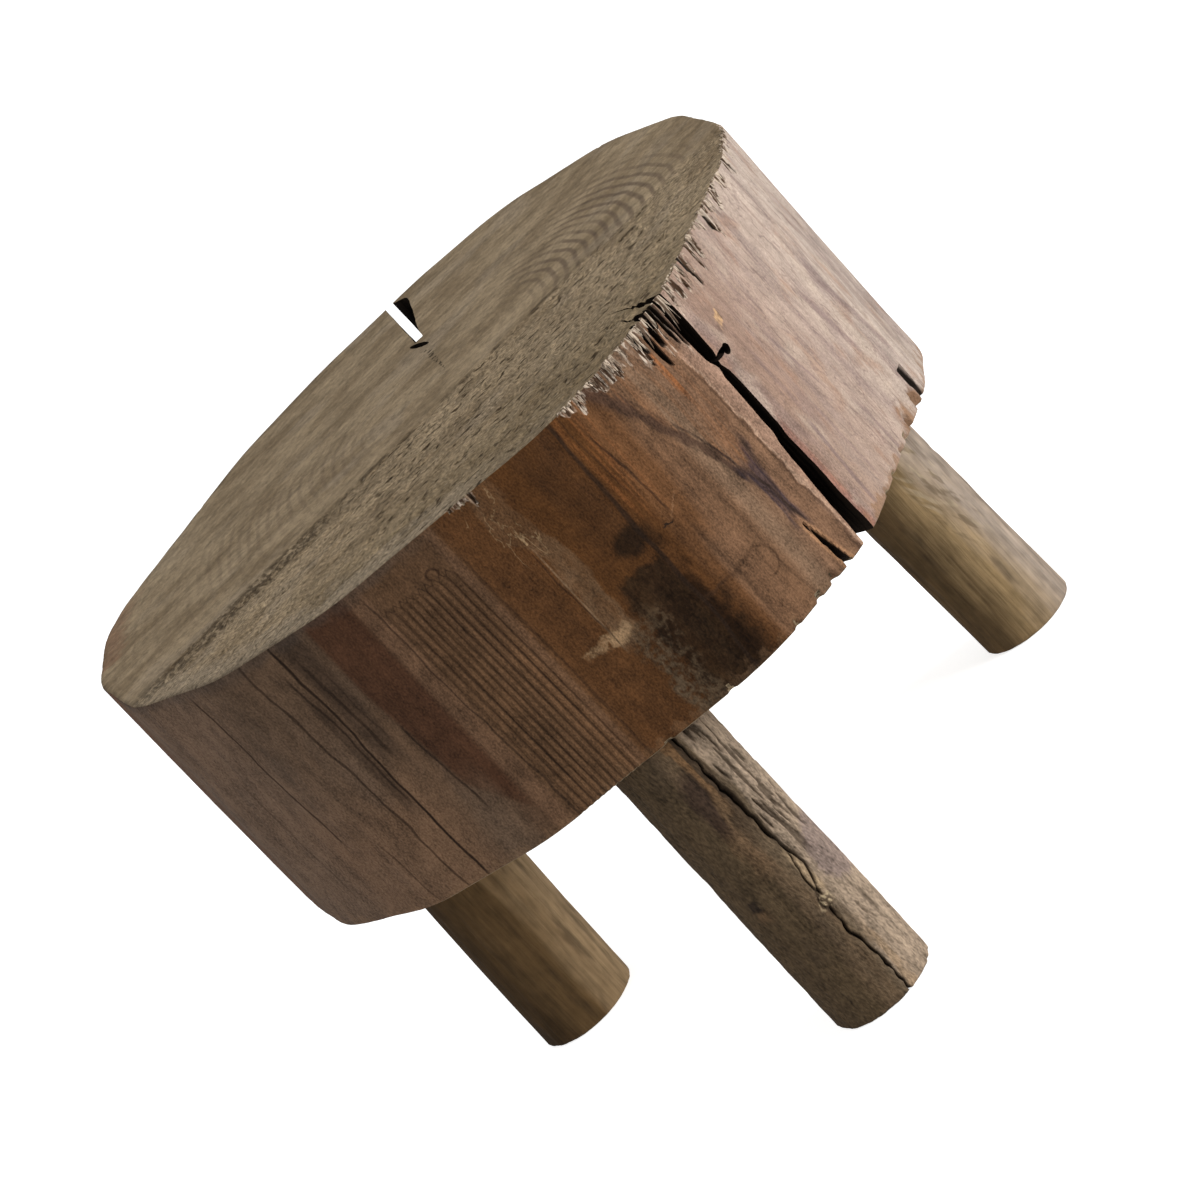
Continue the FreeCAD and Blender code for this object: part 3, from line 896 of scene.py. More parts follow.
# %% Make the poles
# How much longer, wider and thicker a kerf is than its wedge: wide enough to leave the tenon on both sides
KERF_GROWTH = (1.02, 1.5, 1.02)


def kerf_cutter(leg):
    """The wedge's own shape, grown along its three axes, to saw a kerf out of the tenon."""
    bm = bmesh.new()
    bm.from_mesh(frame["nodes"][f"wedge_{leg}"].data)
    bmesh.ops.remove_doubles(bm, verts=bm.verts, dist=1e-6)
    cutter = object_from(bm, f"{leg}_kerf")
    corners = read_places(cutter.data)
    middle = corners.mean(axis=0)
    axes = np.linalg.svd(corners - middle)[2]
    grown = (corners - middle) @ axes.T * KERF_GROWTH
    write_places(cutter.data, middle + grown @ axes)
    return cutter


def make_pole(leg):
    """One leg: spun, its columns crowded towards the front, weathered, and leaned over."""
    pole = spin_pole(leg)
    places = read_places(pole.data, unit=1)
    radius = np.hypot(places[:, 0], places[:, 1])
    turned = crowded(places)
    places[:, 0], places[:, 1] = radius * np.cos(turned), radius * np.sin(turned)
    bearing = np.degrees(np.arctan2(places[:, 1], places[:, 0]))
    low, high = pole_radii(leg)
    on_skin = ease(radius, low - 3, low - 1.5) * (places[:, 2] < UNDERSIDE + 0.1)
    away = np.radians(bearing)
    spot = np.column_stack([low * np.cos(away), low * np.sin(away), places[:, 2]])
    seed = 60 + 10 * LEGS.index(leg)
    crack = fissures(spot, width=6, length=34, amount=0.4, seed=seed + 2)
    if leg == "front":
        crack = np.maximum(crack, front_cracks(bearing, places[:, 2], low, spot))
    depth = pole_skin(leg, places[:, 2], spot, seed) + crack
    thinner = 1 - on_skin * depth / np.maximum(radius, 1)
    places[:, :2] *= thinner[:, None]
    write_places(pole.data, lean_over(places, leg))
    store(pole.data, "crack", on_skin * crack)
    carve(pole, kerf_cutter(leg))
    return pole


poles = {leg: make_pole(leg) for leg in LEGS}
for leg, pole in poles.items():
    print(f"{pole.name}: {len(pole.data.polygons)} faces")

# %% [markdown]
# ## Sums with sockets
# The colours come from shader nodes. Wiring them one by one is slow to write and hard to read, so a small
# class wraps a socket and lets Python's own operators add the Math nodes. Colours never go through Math,
# which would turn them grey: they are mixed with Mix nodes and scaled with Vector Math.

# %% Links
class Link:
    """A socket in a sum: each operator adds a Math node."""

    def __init__(self, finish, socket):
        self.finish = finish
        self.socket = socket

    def beside(self, output):
        """Another output of the same node."""
        return Link(self.finish, self.socket.node.outputs[output])

    def __add__(self, other):
        return self.finish.math("ADD", self, other)

    def __sub__(self, other):
        return self.finish.math("SUBTRACT", self, other)

    def __rsub__(self, other):
        return self.finish.math("SUBTRACT", other, self)

    def __mul__(self, other):
        return self.finish.math("MULTIPLY", self, other)

    def __truediv__(self, other):
        return self.finish.math("DIVIDE", self, other)

    def __abs__(self):
        return self.finish.math("ABSOLUTE", self)

    __radd__ = __add__
    __rmul__ = __mul__


def rgb(red, green, blue):
    """A colour as linear light, with its alpha."""
    return (red, green, blue, 1.0)


# %% [markdown]
# ## A finish in coats
# Weather lays one coat over another, and so does this class. It keeps the ground as it is so far, and each
# coat blends a colour over it where a mask says so. Most masks are a place on the log: a bearing, given as
# its middle, half width and soft edge in degrees, and a height in millimetres. The rest are noise. Every
# texture reads Object coordinates, so a pattern keeps its size and stays on the wood.

# %% Finishes
SEED_SHIFT = (7.3, 3.1, 5.7)
BUMP_STRENGTH = 0.6


class Finish:
    """A material that is built up in coats, with its values in mm and degrees."""

    def __init__(self, name, gloss):
        self.material = bpy.data.materials.new(name)
        self.material.use_nodes = True
        self.tree = self.material.node_tree
        self.shader = self.tree.nodes["Principled BSDF"]
        self.shader.inputs["Specular IOR Level"].default_value = gloss
        self.place = self.node("TexCoord", output="Object")
        split = self.node("SeparateXYZ", sockets={0: self.place})
        self.east, self.north, self.height = (split.beside(axis) / MM for axis in "XYZ")
        self.bearing = None
        self.ground = None

    def plug(self, socket, value):
        """Link a socket, or set its value."""
        if isinstance(value, Link):
            self.tree.links.new(value.socket, socket)
        else:
            socket.default_value = value

    def node(self, kind, settings=None, sockets=None, output=0):
        """Any node: its settings first, then the values or links of its sockets."""
        node = self.tree.nodes.new(f"ShaderNode{kind}")
        for name, value in (settings or {}).items():
            if name == "stops":
                self.set_stops(node.color_ramp, value)
            else:
                setattr(node, name, value)
        for name, value in (sockets or {}).items():
            self.plug(node.inputs[name], value)
        return Link(self, node.outputs[output])

    def set_stops(self, ramp, stops):
        """Stops of (position, colour), in order."""
        while len(ramp.elements) < len(stops):
            ramp.elements.new(1.0)
        for element, (position, colour) in zip(ramp.elements, stops):
            element.position = position
            element.color = colour

    def math(self, operation, first, second=0.0):
        """One Math node."""
        return self.node("Math", {"operation": operation}, {0: first, 1: second})

    def most(self, first, second):
        """The greater of two values."""
        return self.math("MAXIMUM", first, second)

    def step(self, value, low, high):
        """0 at low and 1 at high, with a smooth rise between; low may be the greater."""
        limits = {"Value": value, "From Min": low, "From Max": high}
        return self.node("MapRange", {"interpolation_type": "SMOOTHSTEP"}, limits)

    def near(self, value, middle, half, soft):
        """1 within half of a middle, fading to 0 over soft."""
        return self.step(abs(value - middle), half + soft, half)

    def turn_about(self, x, y):
        """Measure bearings in degrees about an axis, given how far east and north of it a place is."""
        self.bearing = self.math("ARCTAN2", y, x) * (180 / math.pi)

    def patch(self, bearings, heights, aside=0.0, up=0.0):
        """1 round a bearing and a height, each a middle, half width and soft edge; aside and up shift it."""
        return self.near(self.bearing + aside, *bearings) * self.near(self.height + up, *heights)

    def fade(self, bearings, heights, aside=0.0, up=0.0):
        """1 round a bearing in the same way, rising from 0 at the first height to 1 at the second."""
        return self.near(self.bearing + aside, *bearings) * self.step(self.height + up, *heights)

    def away(self, middle, level, girth, aside=0.0, up=0.0):
        """Distance in mm over a round side of a radius, from a bearing and a height."""
        across = (self.bearing + aside - middle) * math.radians(girth)
        rise = self.height + up - level
        return self.math("SQRT", across * across + rise * rise)

    def multiply_add(self, vector, factor, shift):
        """One Vector Math node."""
        return self.node("VectorMath", {"operation": "MULTIPLY_ADD"}, {0: vector, 1: factor, 2: shift})

    def turned(self, about_y=0, about_z=0):
        """The place, turned by degrees about an axis."""
        angles = (0, math.radians(about_y), math.radians(about_z))
        return self.node("Mapping", None, {"Vector": self.place, "Rotation": angles})

    def texture(self, size, detail, shift, place, output):
        """A noise texture with lumps of that size in mm along x, y and z."""
        spot = self.multiply_add(place, [1 / (length * MM) for length in size], shift)
        return self.node("TexNoise", None, {"Vector": spot, "Scale": 1, "Detail": detail}, output)

    def noise(self, size, detail, seed, place=None):
        """Noise round 0, about -0.3 to 0.3."""
        shift = [seed * along for along in SEED_SHIFT]
        return self.texture(size, detail, shift, place or self.place, "Fac") - 0.5

    def blotch(self, size, detail, seed, low, high, place=None):
        """Patches where the noise is over high; if low is the greater, threads where it passes 0."""
        value = self.noise(size, detail, seed, place)
        return self.step(value if low < high else abs(value), low, high)

    def wavy(self, size, amount, seed):
        """The place, pushed sideways by up to about half an amount in mm, so that grain wanders."""
        push = self.texture(size, 2, (seed, seed, seed), self.place, "Color")
        return self.multiply_add(push, (amount * MM, amount * MM, 0), self.place)

    def around(self, bearing, stops):
        """A colour for each bearing, from stops of (degrees, colour)."""
        shares = [((degrees + 180) / 360, colour) for degrees, colour in stops]
        return self.node("ValToRGB", {"stops": shares}, {"Fac": (bearing + 180) / 360})

    def blend(self, share, first, second):
        """The first colour where the share is 0, the second where it is 1."""
        return self.node("Mix", {"data_type": "RGBA"}, {0: share, 6: first, 7: second}, 2)

    def coat(self, share, colour):
        """Lay a colour over the ground, as much of it as the share says."""
        self.ground = self.blend(share, self.ground, colour)

    def scaled(self, colour, amount):
        """A colour made darker or lighter."""
        return self.node("VectorMath", {"operation": "SCALE"}, {0: colour, "Scale": amount})

    def attribute(self, name):
        """A value stored on the piece's points."""
        return self.node("Attribute", {"attribute_name": name}, output="Fac")

    def paint(self, colour, roughness, relief, depth):
        """Feed the shader: colour, roughness, and relief of a depth in mm as bump."""
        self.plug(self.shader.inputs["Base Color"], colour)
        self.plug(self.shader.inputs["Roughness"], roughness)
        bumps = self.node("Bump", None, {"Strength": BUMP_STRENGTH, "Distance": depth * MM, "Height": relief})
        self.plug(self.shader.inputs["Normal"], bumps)
        return self.material


# %% [markdown]
# ## What the finish needs to know
# A node can't tell a check from the skin beside it, but the mesh can. Three numbers are stored on the seat's
# points: how far a point lies inside the outline, how deep a crack is there, and how far fibres are torn.
# The poles keep the depth of their fissures in the same way.

# %% Store the marks on the points
seat_places = read_places(seat.data)
seat_bearing, seat_distance = polar(seat_places)
seat_height = seat_places[:, 2]
seat_run = np.radians(seat_bearing) * NOMINAL
inside_rim = rim_radius(seat_bearing) - seat_distance
store(seat.data, "inside_rim", np.maximum(inside_rim, 0))
store(seat.data, "crack", cracks(seat_bearing, seat_height))
store(seat.data, "torn", torn(seat_bearing, seat_height, seat_run))
print("stored:", [layer.name for layer in seat.data.attributes if layer.data_type == "FLOAT"])

# %% [markdown]
# ## The hewn side
# No two flats of the side have weathered alike. The left is grey-brown, then come a red band, the ridges, a
# warm brown front with a dark stain, and the pinkish flat right of the front check. A ramp round the log
# gives each flat its ground colour, and its edges wander a little with the grain. Single marks are laid over
# it as coats, a few of them painted shade or painted light. Grain then darkens and lightens everything
# together, and the cracks come last, painted near black for dirt and for the shade inside them, whatever the
# wood's own colour is.

# %% Ground colours of the side
GREY_BROWN = rgb(0.138, 0.088, 0.058)
DULL_BROWN = rgb(0.135, 0.081, 0.048)
RED_BROWN = rgb(0.062, 0.027, 0.014)
STRIP_BROWN = rgb(0.084, 0.047, 0.027)
RIDGE_BROWN = rgb(0.098, 0.052, 0.026)
WARM_BROWN = rgb(0.073, 0.030, 0.0095)
RUSSET = rgb(0.068, 0.028, 0.009)
LIGHT_WARM = rgb(0.086, 0.037, 0.0135)
ORANGE_BROWN = rgb(0.098, 0.044, 0.018)
FAWN = rgb(0.150, 0.082, 0.047)
DIM_FAWN = rgb(0.130, 0.069, 0.037)
GREY_FAWN = rgb(0.164, 0.100, 0.061)
ROSY = rgb(0.280, 0.184, 0.136)
PALE_ROSY = rgb(0.370, 0.272, 0.216)
PALE = rgb(0.425, 0.343, 0.286)
BACK_BROWN = rgb(0.200, 0.135, 0.092)
SIDE_STOPS = (
    (-180, GREY_BROWN), (-146, GREY_BROWN), (-126, DULL_BROWN), (-114, STRIP_BROWN), (-109, RIDGE_BROWN),
    (-99.5, RIDGE_BROWN), (-98.2, LIGHT_WARM), (-92, LIGHT_WARM), (-87, WARM_BROWN), (-79.6, WARM_BROWN),
    (-78.6, RUSSET), (-75.9, RUSSET), (-74.4, ORANGE_BROWN), (-71.8, ORANGE_BROWN), (-70, DIM_FAWN),
    (-67.6, DIM_FAWN), (-66, GREY_FAWN), (-64.5, GREY_FAWN), (-62.5, FAWN), (-57.5, FAWN), (-54.5, ROSY),
    (-46, ROSY), (-36, PALE_ROSY), (-12, PALE), (12, PALE), (60, BACK_BROWN), (130, DULL_BROWN),
    (180, GREY_BROWN),
)
# Dark brown: a smudge right of the left check, and painted shade left of it
SMUDGE_AND_SHADE = rgb(0.046, 0.028, 0.018)
# Washes under and over the red band: bearings, heights, share and colour. Two heights are where the wash
# begins and where it is full; three are a middle, half width and soft edge.
WASHES_UNDER = (
    ((-134, 8, 6), (222, 180), 0.35, rgb(0.172, 0.094, 0.052)),
    # Painted shade: the left flats darken towards the top
    ((-128, 8, 12), (185, 265), 0.45, rgb(0.058, 0.037, 0.023)),
    ((-123.4, 1.2, 1.2), (203, 226), 0.65, SMUDGE_AND_SHADE),
    # Painted shade: a soft dark band left of the left hairline check
    ((-127.0, 0.5, 0.8), (222, 24, 18), 0.65, SMUDGE_AND_SHADE),
    # Painted light: a lighter foot on the strip at the ridges' right edge
    ((-100.4, 1.2, 1.6), (236, 204), 0.6, rgb(0.140, 0.072, 0.035)),
    ((-107.5, 6, 4), (212, 256), 0.35, rgb(0.056, 0.031, 0.017)),
)
WASHES_OVER = (
    ((-118.5, 2, 2), (200, 170), 0.5, rgb(0.122, 0.080, 0.051)),
    ((-71.6, 1.8, 1.2), (214, 192), 0.85, rgb(0.148, 0.079, 0.043)),
)


def wash(finish, washes, aside=0.0):
    """Lay washes one after another, all shifted aside in the same way."""
    for bearings, heights, share, colour in washes:
        mask = finish.fade if len(heights) == 2 else finish.patch
        finish.coat(share * mask(bearings, heights, aside), colour)


def side_ground(finish):
    """The flats' own colours, with the red band, the greyer weathered patches, and washes of painted shade
    and light.
    """
    bearing, height = finish.bearing, finish.height
    finish.ground = finish.around(bearing + 3 * finish.noise((22, 22, 70), 2, 1), SIDE_STOPS)
    grey = finish.blotch((24, 24, 60), 3, 2, 0.0, 0.16) * finish.step(bearing, -110, -122)
    finish.coat(0.2 * grey, rgb(0.125, 0.095, 0.075))
    wash(finish, WASHES_UNDER)
    band_left = 0.03 * finish.most(244 - height, 0) + 0.17 * finish.most(188 - height, 0) - 120.2
    red = finish.step(bearing, band_left - 0.4, band_left + 0.6) * finish.step(bearing, -112.6, -114.0)
    finish.coat(0.9 * red * finish.step(height, 144, 182), RED_BROWN)
    fawn_strip = finish.near(bearing, -112.0, 0.8, 0.7) + 0.8 * finish.near(bearing, -99.4, 0.5, 0.5)
    finish.coat(0.45 * fawn_strip, FAWN)
    mottled = 0.6 + 1.6 * finish.noise((9, 9, 16), 4, 35)
    finish.coat(0.6 * mottled * finish.fade((-82, 1.8, 2.6), (214, 236)), rgb(0.036, 0.017, 0.008))
    wash(finish, WASHES_OVER)


print(f"{len(SIDE_STOPS)} stops round the side, {len(WASHES_UNDER) + len(WASHES_OVER)} washes")

# %% Pale strip down the front
def pale_strip(finish):
    """A paler strip down the warm front, broad at the top, and the dry scuff that ends it."""
    height = finish.height
    blur = finish.noise((5, 5, 9), 3, 3)
    left = finish.step(height, 258, 245) * 2.4 - 93.2
    right = finish.step(height, 264, 236) * 1.5 - 88.8
    ragged = finish.bearing + 2.6 * blur
    strip = finish.step(ragged, left - 0.3, left + 0.5) * finish.step(ragged, right + 0.4, right - 0.4)
    fading = finish.step(height, 186, 194) * (0.5 + 0.5 * finish.step(height, 256, 240))
    finish.coat((0.5 + 0.9 * blur) * strip * fading, rgb(0.128, 0.080, 0.045))
    squiggle = finish.blotch((5, 5, 14), 3, 9, 0.022, 0.004)
    dry = finish.patch((left + 0.9, 0.9, 1.2), (264, 13, 9), 9 * blur)
    dry = dry + finish.patch((-91.2, 1.6, 1.2), (246, 3, 4), 0, 14 * blur)
    finish.coat(0.55 * dry * squiggle, rgb(0.235, 0.155, 0.082))
    torn_off = finish.patch((-92, 2.4, 1.6), (197.6, 1.2, 2.0), 5 * blur, 9 * blur)
    flakes = finish.blotch((2.2, 2.2, 2.2), 3, 10, -0.1, 0.1)
    finish.coat((0.4 + 0.5 * flakes) * torn_off, rgb(0.270, 0.168, 0.088))
    bright = finish.patch((-90.2, 1.2, 1.2), (196.5, 1.4, 2.2), 4 * blur, 9 * blur)
    finish.coat(0.7 * bright, rgb(0.270, 0.172, 0.092))
    finish.coat(0.5 * finish.patch((-90.7, 0.04, 0.16), (218, 22, 10)), rgb(0.200, 0.130, 0.075))


# %% Long dark lines in the grain
# Each line: bearing at the top and at the foot, lowest and highest point, half width in degrees, and darkness
GRAIN_LINES = (
    # The first line follows the left hairline check: its dark is dirt and painted shade in the check
    (-126.2, -125.7, UNDERSIDE, TOP, 0.22, 0.95), (-127.5, -126.2, 194, 266, 0.20, 0.75),
    (-143.3, -139.4, 190, TOP - 5, 0.20, 0.80), (-131.5, -129.0, UNDERSIDE, TOP, 0.18, 0.70),
    (-137.4, -134.2, UNDERSIDE, 184, 0.14, 0.50), (-150.0, -147.5, 165, 232, 0.25, 0.30),
    (-124.6, -122.2, 215, 268, 0.30, 0.70), (-121.4, -117.4, 176, 224, 0.22, 0.70),
    (-122.8, -121.4, 222, 262, 0.16, 0.45), (-111.6, -110.2, UNDERSIDE, TOP - 6, 0.14, 0.65),
    (-91.4, -90.4, 190, 246, 0.12, 0.55), (-78.3, -79.4, UNDERSIDE, TOP, 0.32, 0.80),
    (-75.6, -72.6, 221, 264, 0.17, 0.70), (-77.0, -76.2, 232, TOP, 0.14, 0.40),
    (-73.6, -73.0, UNDERSIDE, 214, 0.30, 0.30), (-69.0, -67.0, UNDERSIDE, 226, 0.25, 0.25),
    (-98.6, -97.6, UNDERSIDE, 262, 0.20, 0.45),
)
# Softer lilac lines on the right flat, given in the same way
FLAT_LINES = (
    (-46.6, -49.1, 152, 196, 0.45, 0.70), (-43.8, -43.5, 156, 196, 0.40, 0.45),
    (-34.2, -33.3, 150, 178, 0.50, 0.60), (-27.4, -20.0, 186, 224, 0.70, 0.60),
    (-20.3, -12.9, 172, 220, 0.90, 0.55), (-44.4, -34.3, 198, 228, 0.35, 0.60),
    (-29.5, -28.5, 170, 245, 0.90, 0.35), (-17.0, -16.0, 215, 250, 1.00, 0.30),
    (-52.0, -51.0, 248, 266, 1.10, 0.50), (-38.5, -39.5, 224, 262, 0.60, 0.35),
    (-46.5, -47.5, 196, 232, 0.50, 0.35), (-9.0, -6.5, 165, 240, 1.10, 0.35),
)
LINE_END = 5


def grain_lines(finish, lines):
    """How dark a set of long lines is, 0 to 1."""
    height = finish.height
    fall = (TOP - height) / (TOP - UNDERSIDE)
    wander = finish.bearing + 1.6 * finish.noise((14, 14, 30), 2, 31)
    dark = 0.0
    for top, foot, low, high, half, strength in lines:
        line = finish.near(wander, (foot - top) * fall + top, 0.4 * half, half)
        line = line * finish.step(height, low - LINE_END, low + LINE_END)
        line = line * finish.step(height, high + LINE_END, high - LINE_END)
        dark = finish.most(strength * line, dark)
    return dark


print(f"{len(GRAIN_LINES) + len(FLAT_LINES)} long lines")

# %% Grooves of the weathered ridges
def ridge_lines(finish):
    """How dark the grooves are, 0 to 1: the same sums as for their shape, with a line round each arch."""
    height = finish.height
    upright = finish.bearing + RIDGE_LEAN * (height - MIDDLE)
    across = upright * math.radians(NOMINAL)
    turns = across / RIDGE_PITCH + RIDGE_DRIFT * finish.math("SINE", across / DRIFT_LENGTH)
    wave = finish.math("SINE", turns * (2 * math.pi))
    arch = RIDGE_TOP - ARCH_FALL * (finish.bearing - RIDGE_LEFT) - ARCH_HEIGHT * (1 + wave)
    inside = finish.step(upright, RIDGE_LEFT - 0.2, RIDGE_LEFT + 0.4)
    inside = inside * finish.step(upright, RIDGE_RIGHT + 0.3, RIDGE_RIGHT - 0.4)
    groove = finish.step(wave, 0.3, 1.0) * finish.step(height, arch + 0.6, arch - 0.8)
    groove = groove * (0.72 + 1.9 * finish.noise((4, 4, 80), 2, 34))
    lines = inside * finish.most(groove, 0.8 * finish.near(height, arch, 0.2, 0.7))
    middle, level, size = CURL
    ring = finish.near(finish.away(middle, level, NOMINAL), size, 0.2, 0.6)
    return finish.most(lines, ring * finish.step(height, level - 2.5, level - 1))


# %% [markdown]
# ## Stain, veins and lips
# The front has seen the most use. Something dark soaked into it and left an ashen border, and beside the
# front check the grain of an old branch slants down as a vein, meets a second arm, and ends in a small open
# vee. Where a crack opened late, its lips are fresh and pale. Neighbouring marks are roughened by one noise
# that they share, so that their edges belong together.

# %% Stain and scratches
STAIN = rgb(0.018, 0.009, 0.004)
# Near black: dirt, and painted shade where it fills checks, splits and fissures
DIRT_AND_SHADE = rgb(0.010, 0.007, 0.005)


def side_stain(finish, smear):
    """The dark stain with its ashen border, and a round spot above it."""
    bearing, height = finish.bearing, finish.height
    core = finish.step(bearing + 5 * smear, -87.4, -85.4) * finish.step(bearing, -78.4, -79.6)
    core = core * finish.step(height + 10 * smear, 213.5, 209.5)
    border = finish.step(bearing + 9 * smear, -89.8, -87.2) * finish.step(bearing, -84, -86.6)
    border = border * finish.step(height + 40 * smear, 202, 178)
    slanted = bearing + 9 * smear + 0.04 * (height - 165)
    beside = finish.step(bearing, -79.8, -79.0) * finish.step(slanted, -74.6, -78)
    beside = beside * finish.step(height + 24 * smear, 210, 170)
    finish.coat(0.94 * finish.most(core, finish.most(0.55 * border, 0.76 * beside)), STAIN)
    deepest = finish.fade((-79.6, 1.0, 2.2), (206, 196), 4 * smear, 20 * smear)
    finish.coat(0.75 * deepest, rgb(0.0085, 0.0036, 0.0012))
    ashes = finish.fade((-86.8, 2.0, 1.6), (206, 182), 6 * smear, 20 * smear)
    grains = finish.noise((2.2, 2.2, 3.0), 6, 6) + 0.5 * finish.noise((9, 9, 12), 2, 38)
    grains = finish.step(grains, -0.16, 0.16)
    finish.coat(0.8 * ashes * grains, rgb(0.098, 0.068, 0.041))
    finish.coat(0.3 * core * grains, rgb(0.057, 0.031, 0.014))
    finish.coat(0.8 * finish.fade((-83, 3, 2), (UNDERSIDE + 5, UNDERSIDE + 1), 0, 14 * smear), DIRT_AND_SHADE)
    spot = finish.away(-80.8, 223, NOMINAL, 2 * smear, 4 * smear)
    finish.coat(0.92 * finish.step(spot, 8.4, 4.4), STAIN)
    finish.coat(0.55 * finish.patch((-78.1, 0.5, 0.7), (219, 3, 5), 0, 10 * smear), STAIN)


def side_scratches(finish, smear):
    """A short dark dash, a pale scratch and a faint hook right of the stain."""
    bearing = finish.bearing
    jitter = 4 * finish.noise((2, 2, 2), 2, 28)
    dash = finish.patch((-75.6, 0.6, 0.4), (217.5, 0.3, 0.5), 0, jitter + 0.5 * (bearing + 75.6))
    finish.coat(0.9 * dash, DIRT_AND_SHADE)
    scratch = finish.patch((-73.4, 0.9, 0.8), (218, 0.2, 0.5), 0, jitter - 2.6 * (bearing + 74.9))
    finish.coat(0.5 * scratch, rgb(0.190, 0.100, 0.050))
    hook = finish.near(finish.away(-69.6, 177.5, NOMINAL) + 5 * smear, 7, 0.2, 0.6)
    hook = hook * finish.step(bearing, -71, -69.6)
    hook = hook + finish.patch((-74.6, 3.6, 1.0), (184.6, 0.5, 1.2), 0, 6 * smear)
    finish.coat(0.5 * hook, rgb(0.045, 0.022, 0.011))


# %% Veins and lips left of the front check
RUST = rgb(0.240, 0.100, 0.040)


def side_veins(finish, wander, fibrous, broken):
    """The slanting vein, the second arm that meets it, and the rust and the bruise between them."""
    bearing, height = finish.bearing, finish.height
    drop = 220 - height
    vein = 0.10 * drop - 0.0005 * drop * drop - 64.2 + 1.6 * finish.noise((9, 9, 30), 3, 37)
    spread = finish.most(0.015 * (height - 190) + 0.15, 0.12)
    present = finish.step(height, 166, 182)
    shadow = finish.near(bearing + 2 * finish.noise((3, 3, 9), 3, 29), vein, 0.3 * spread, 0.9 * spread)
    finish.coat(0.82 * present * shadow, rgb(0.050, 0.027, 0.018))
    arm = 0.0486 * (height - 176) - 62 + 1.2 * wander
    between = finish.step(bearing, vein, vein + 0.8) * finish.step(bearing, arm + 0.6, arm - 0.4)
    finish.coat((0.2 + 0.25 * finish.step(height, 240, 205)) * between * fibrous, RUST)
    across = (bearing + 61.4 + 0.03 * (height - 192)) * (math.radians(NOMINAL) / 3.4)
    rise = (height - 194) / 17
    bruise = finish.step(finish.math("SQRT", across * across + rise * rise) + 2.4 * wander, 1.25, 0.4)
    finish.coat((0.6 + 0.4 * fibrous) * bruise, rgb(0.042, 0.028, 0.030))
    strokes = finish.patch((arm - 0.3, 0.45, 0.6), (196, 16, 10))
    strokes = finish.most(strokes, finish.patch((vein, 0.35, 0.5), (192, 14, 10)))
    finish.coat((0.45 + 0.4 * fibrous) * strokes, rgb(0.038, 0.026, 0.030))
    right_edge = finish.near(bearing - vein, spread, 0.05, 0.25) * (0.3 + 0.6 * finish.step(height, 256, 226))
    left_edge = finish.near(vein - bearing, spread, 0.05, 0.25) * (0.25 + 0.4 * finish.step(height, 225, 195))
    edges = finish.most(right_edge + left_edge, 0.6 * finish.fade((arm, 0.1, 0.3), (250, 215)))
    finish.coat(edges * present * broken, rgb(0.028, 0.017, 0.013))


def side_lips(finish, wander, fibrous, broken):
    """Rusty glints, the lips of the front check and of the small vee, and a fresh chip right of the check
    with painted shade of small hollows beside it.
    """
    bearing, height = finish.bearing, finish.height
    glow = finish.patch((-61.6, 0.4, 0.9), (262, 10, 10), 4 * wander)
    glow = glow + 0.35 * finish.fade((-76, 1.4, 1.4), (214, 240))
    finish.coat(0.65 * glow * fibrous, rgb(0.270, 0.095, 0.030))
    lip_edge = 0.013 * (250 - height) - 58.2 + 2.6 * wander
    lip = finish.step(bearing, lip_edge - 0.1, lip_edge + 0.25) * finish.step(bearing, -54.4, -55.2)
    finish.coat(0.75 * lip * finish.step(height, 264, 256), rgb(0.280, 0.170, 0.116))
    finish.coat(0.55 * finish.fade((lip_edge + 0.3, 0.08, 0.25), (262, 250)), rgb(0.380, 0.250, 0.170))
    under_lip = finish.fade((lip_edge - 0.3, 0.05, 0.3), (258, 250))
    finish.coat(0.6 * under_lip * broken, rgb(0.060, 0.032, 0.020))
    slope = 0.006 * (UNDERSIDE - height)
    red_lip = finish.step(bearing, slope - 51.7, slope - 52.5) * finish.step(bearing, -54.4, -53.8)
    finish.coat(0.75 * red_lip * finish.step(height, 216, 206), rgb(0.270, 0.118, 0.078))
    from_vee = abs(bearing - (0.052 * (WEDGE_TOP - height) - 61.5))
    vee_half = 0.023 * (WEDGE_TOP + 8 - height)
    vee_lips = finish.near(from_vee, vee_half + 0.15, 0.1, 0.4) * finish.step(height, 184, 172)
    finish.coat(0.7 * vee_lips, rgb(0.310, 0.165, 0.085))
    # Painted shade: two dark spots stand for small hollows beside the chip
    hollow = finish.patch((-46.9, 0.2, 0.35), (253.4, 1.3, 1.4), 2 * wander)
    hollow = hollow + 0.7 * finish.patch((-49.2, 0.15, 0.3), (250.5, 1.5, 1.5), 2 * wander)
    finish.coat(0.8 * hollow, rgb(0.070, 0.042, 0.028))
    slanted = 6 * wander - 1.2 * (bearing + 47.9)
    chipped = finish.patch((-47.9, 0.7, 0.5), (252, 1.9, 1.6), 4 * wander, slanted)
    finish.coat(0.9 * chipped, rgb(0.640, 0.400, 0.200))


# %% [markdown]
# ## The right flat, the back and the edges
# The right flat is the palest: sun has bleached it, and lilac lines show where the grain dips under. The far
# side was hewn in the same way, so it gets flats of differing browns with dark streaks. The lower edge is
# chipped, and along the rim the comb of torn fibres shows straw between gaps darkened with painted shade.

# %% Right flat, back and edges
LILAC = rgb(0.195, 0.140, 0.132)
STRAW = rgb(0.480, 0.385, 0.300)
TAN = rgb(0.205, 0.120, 0.064)
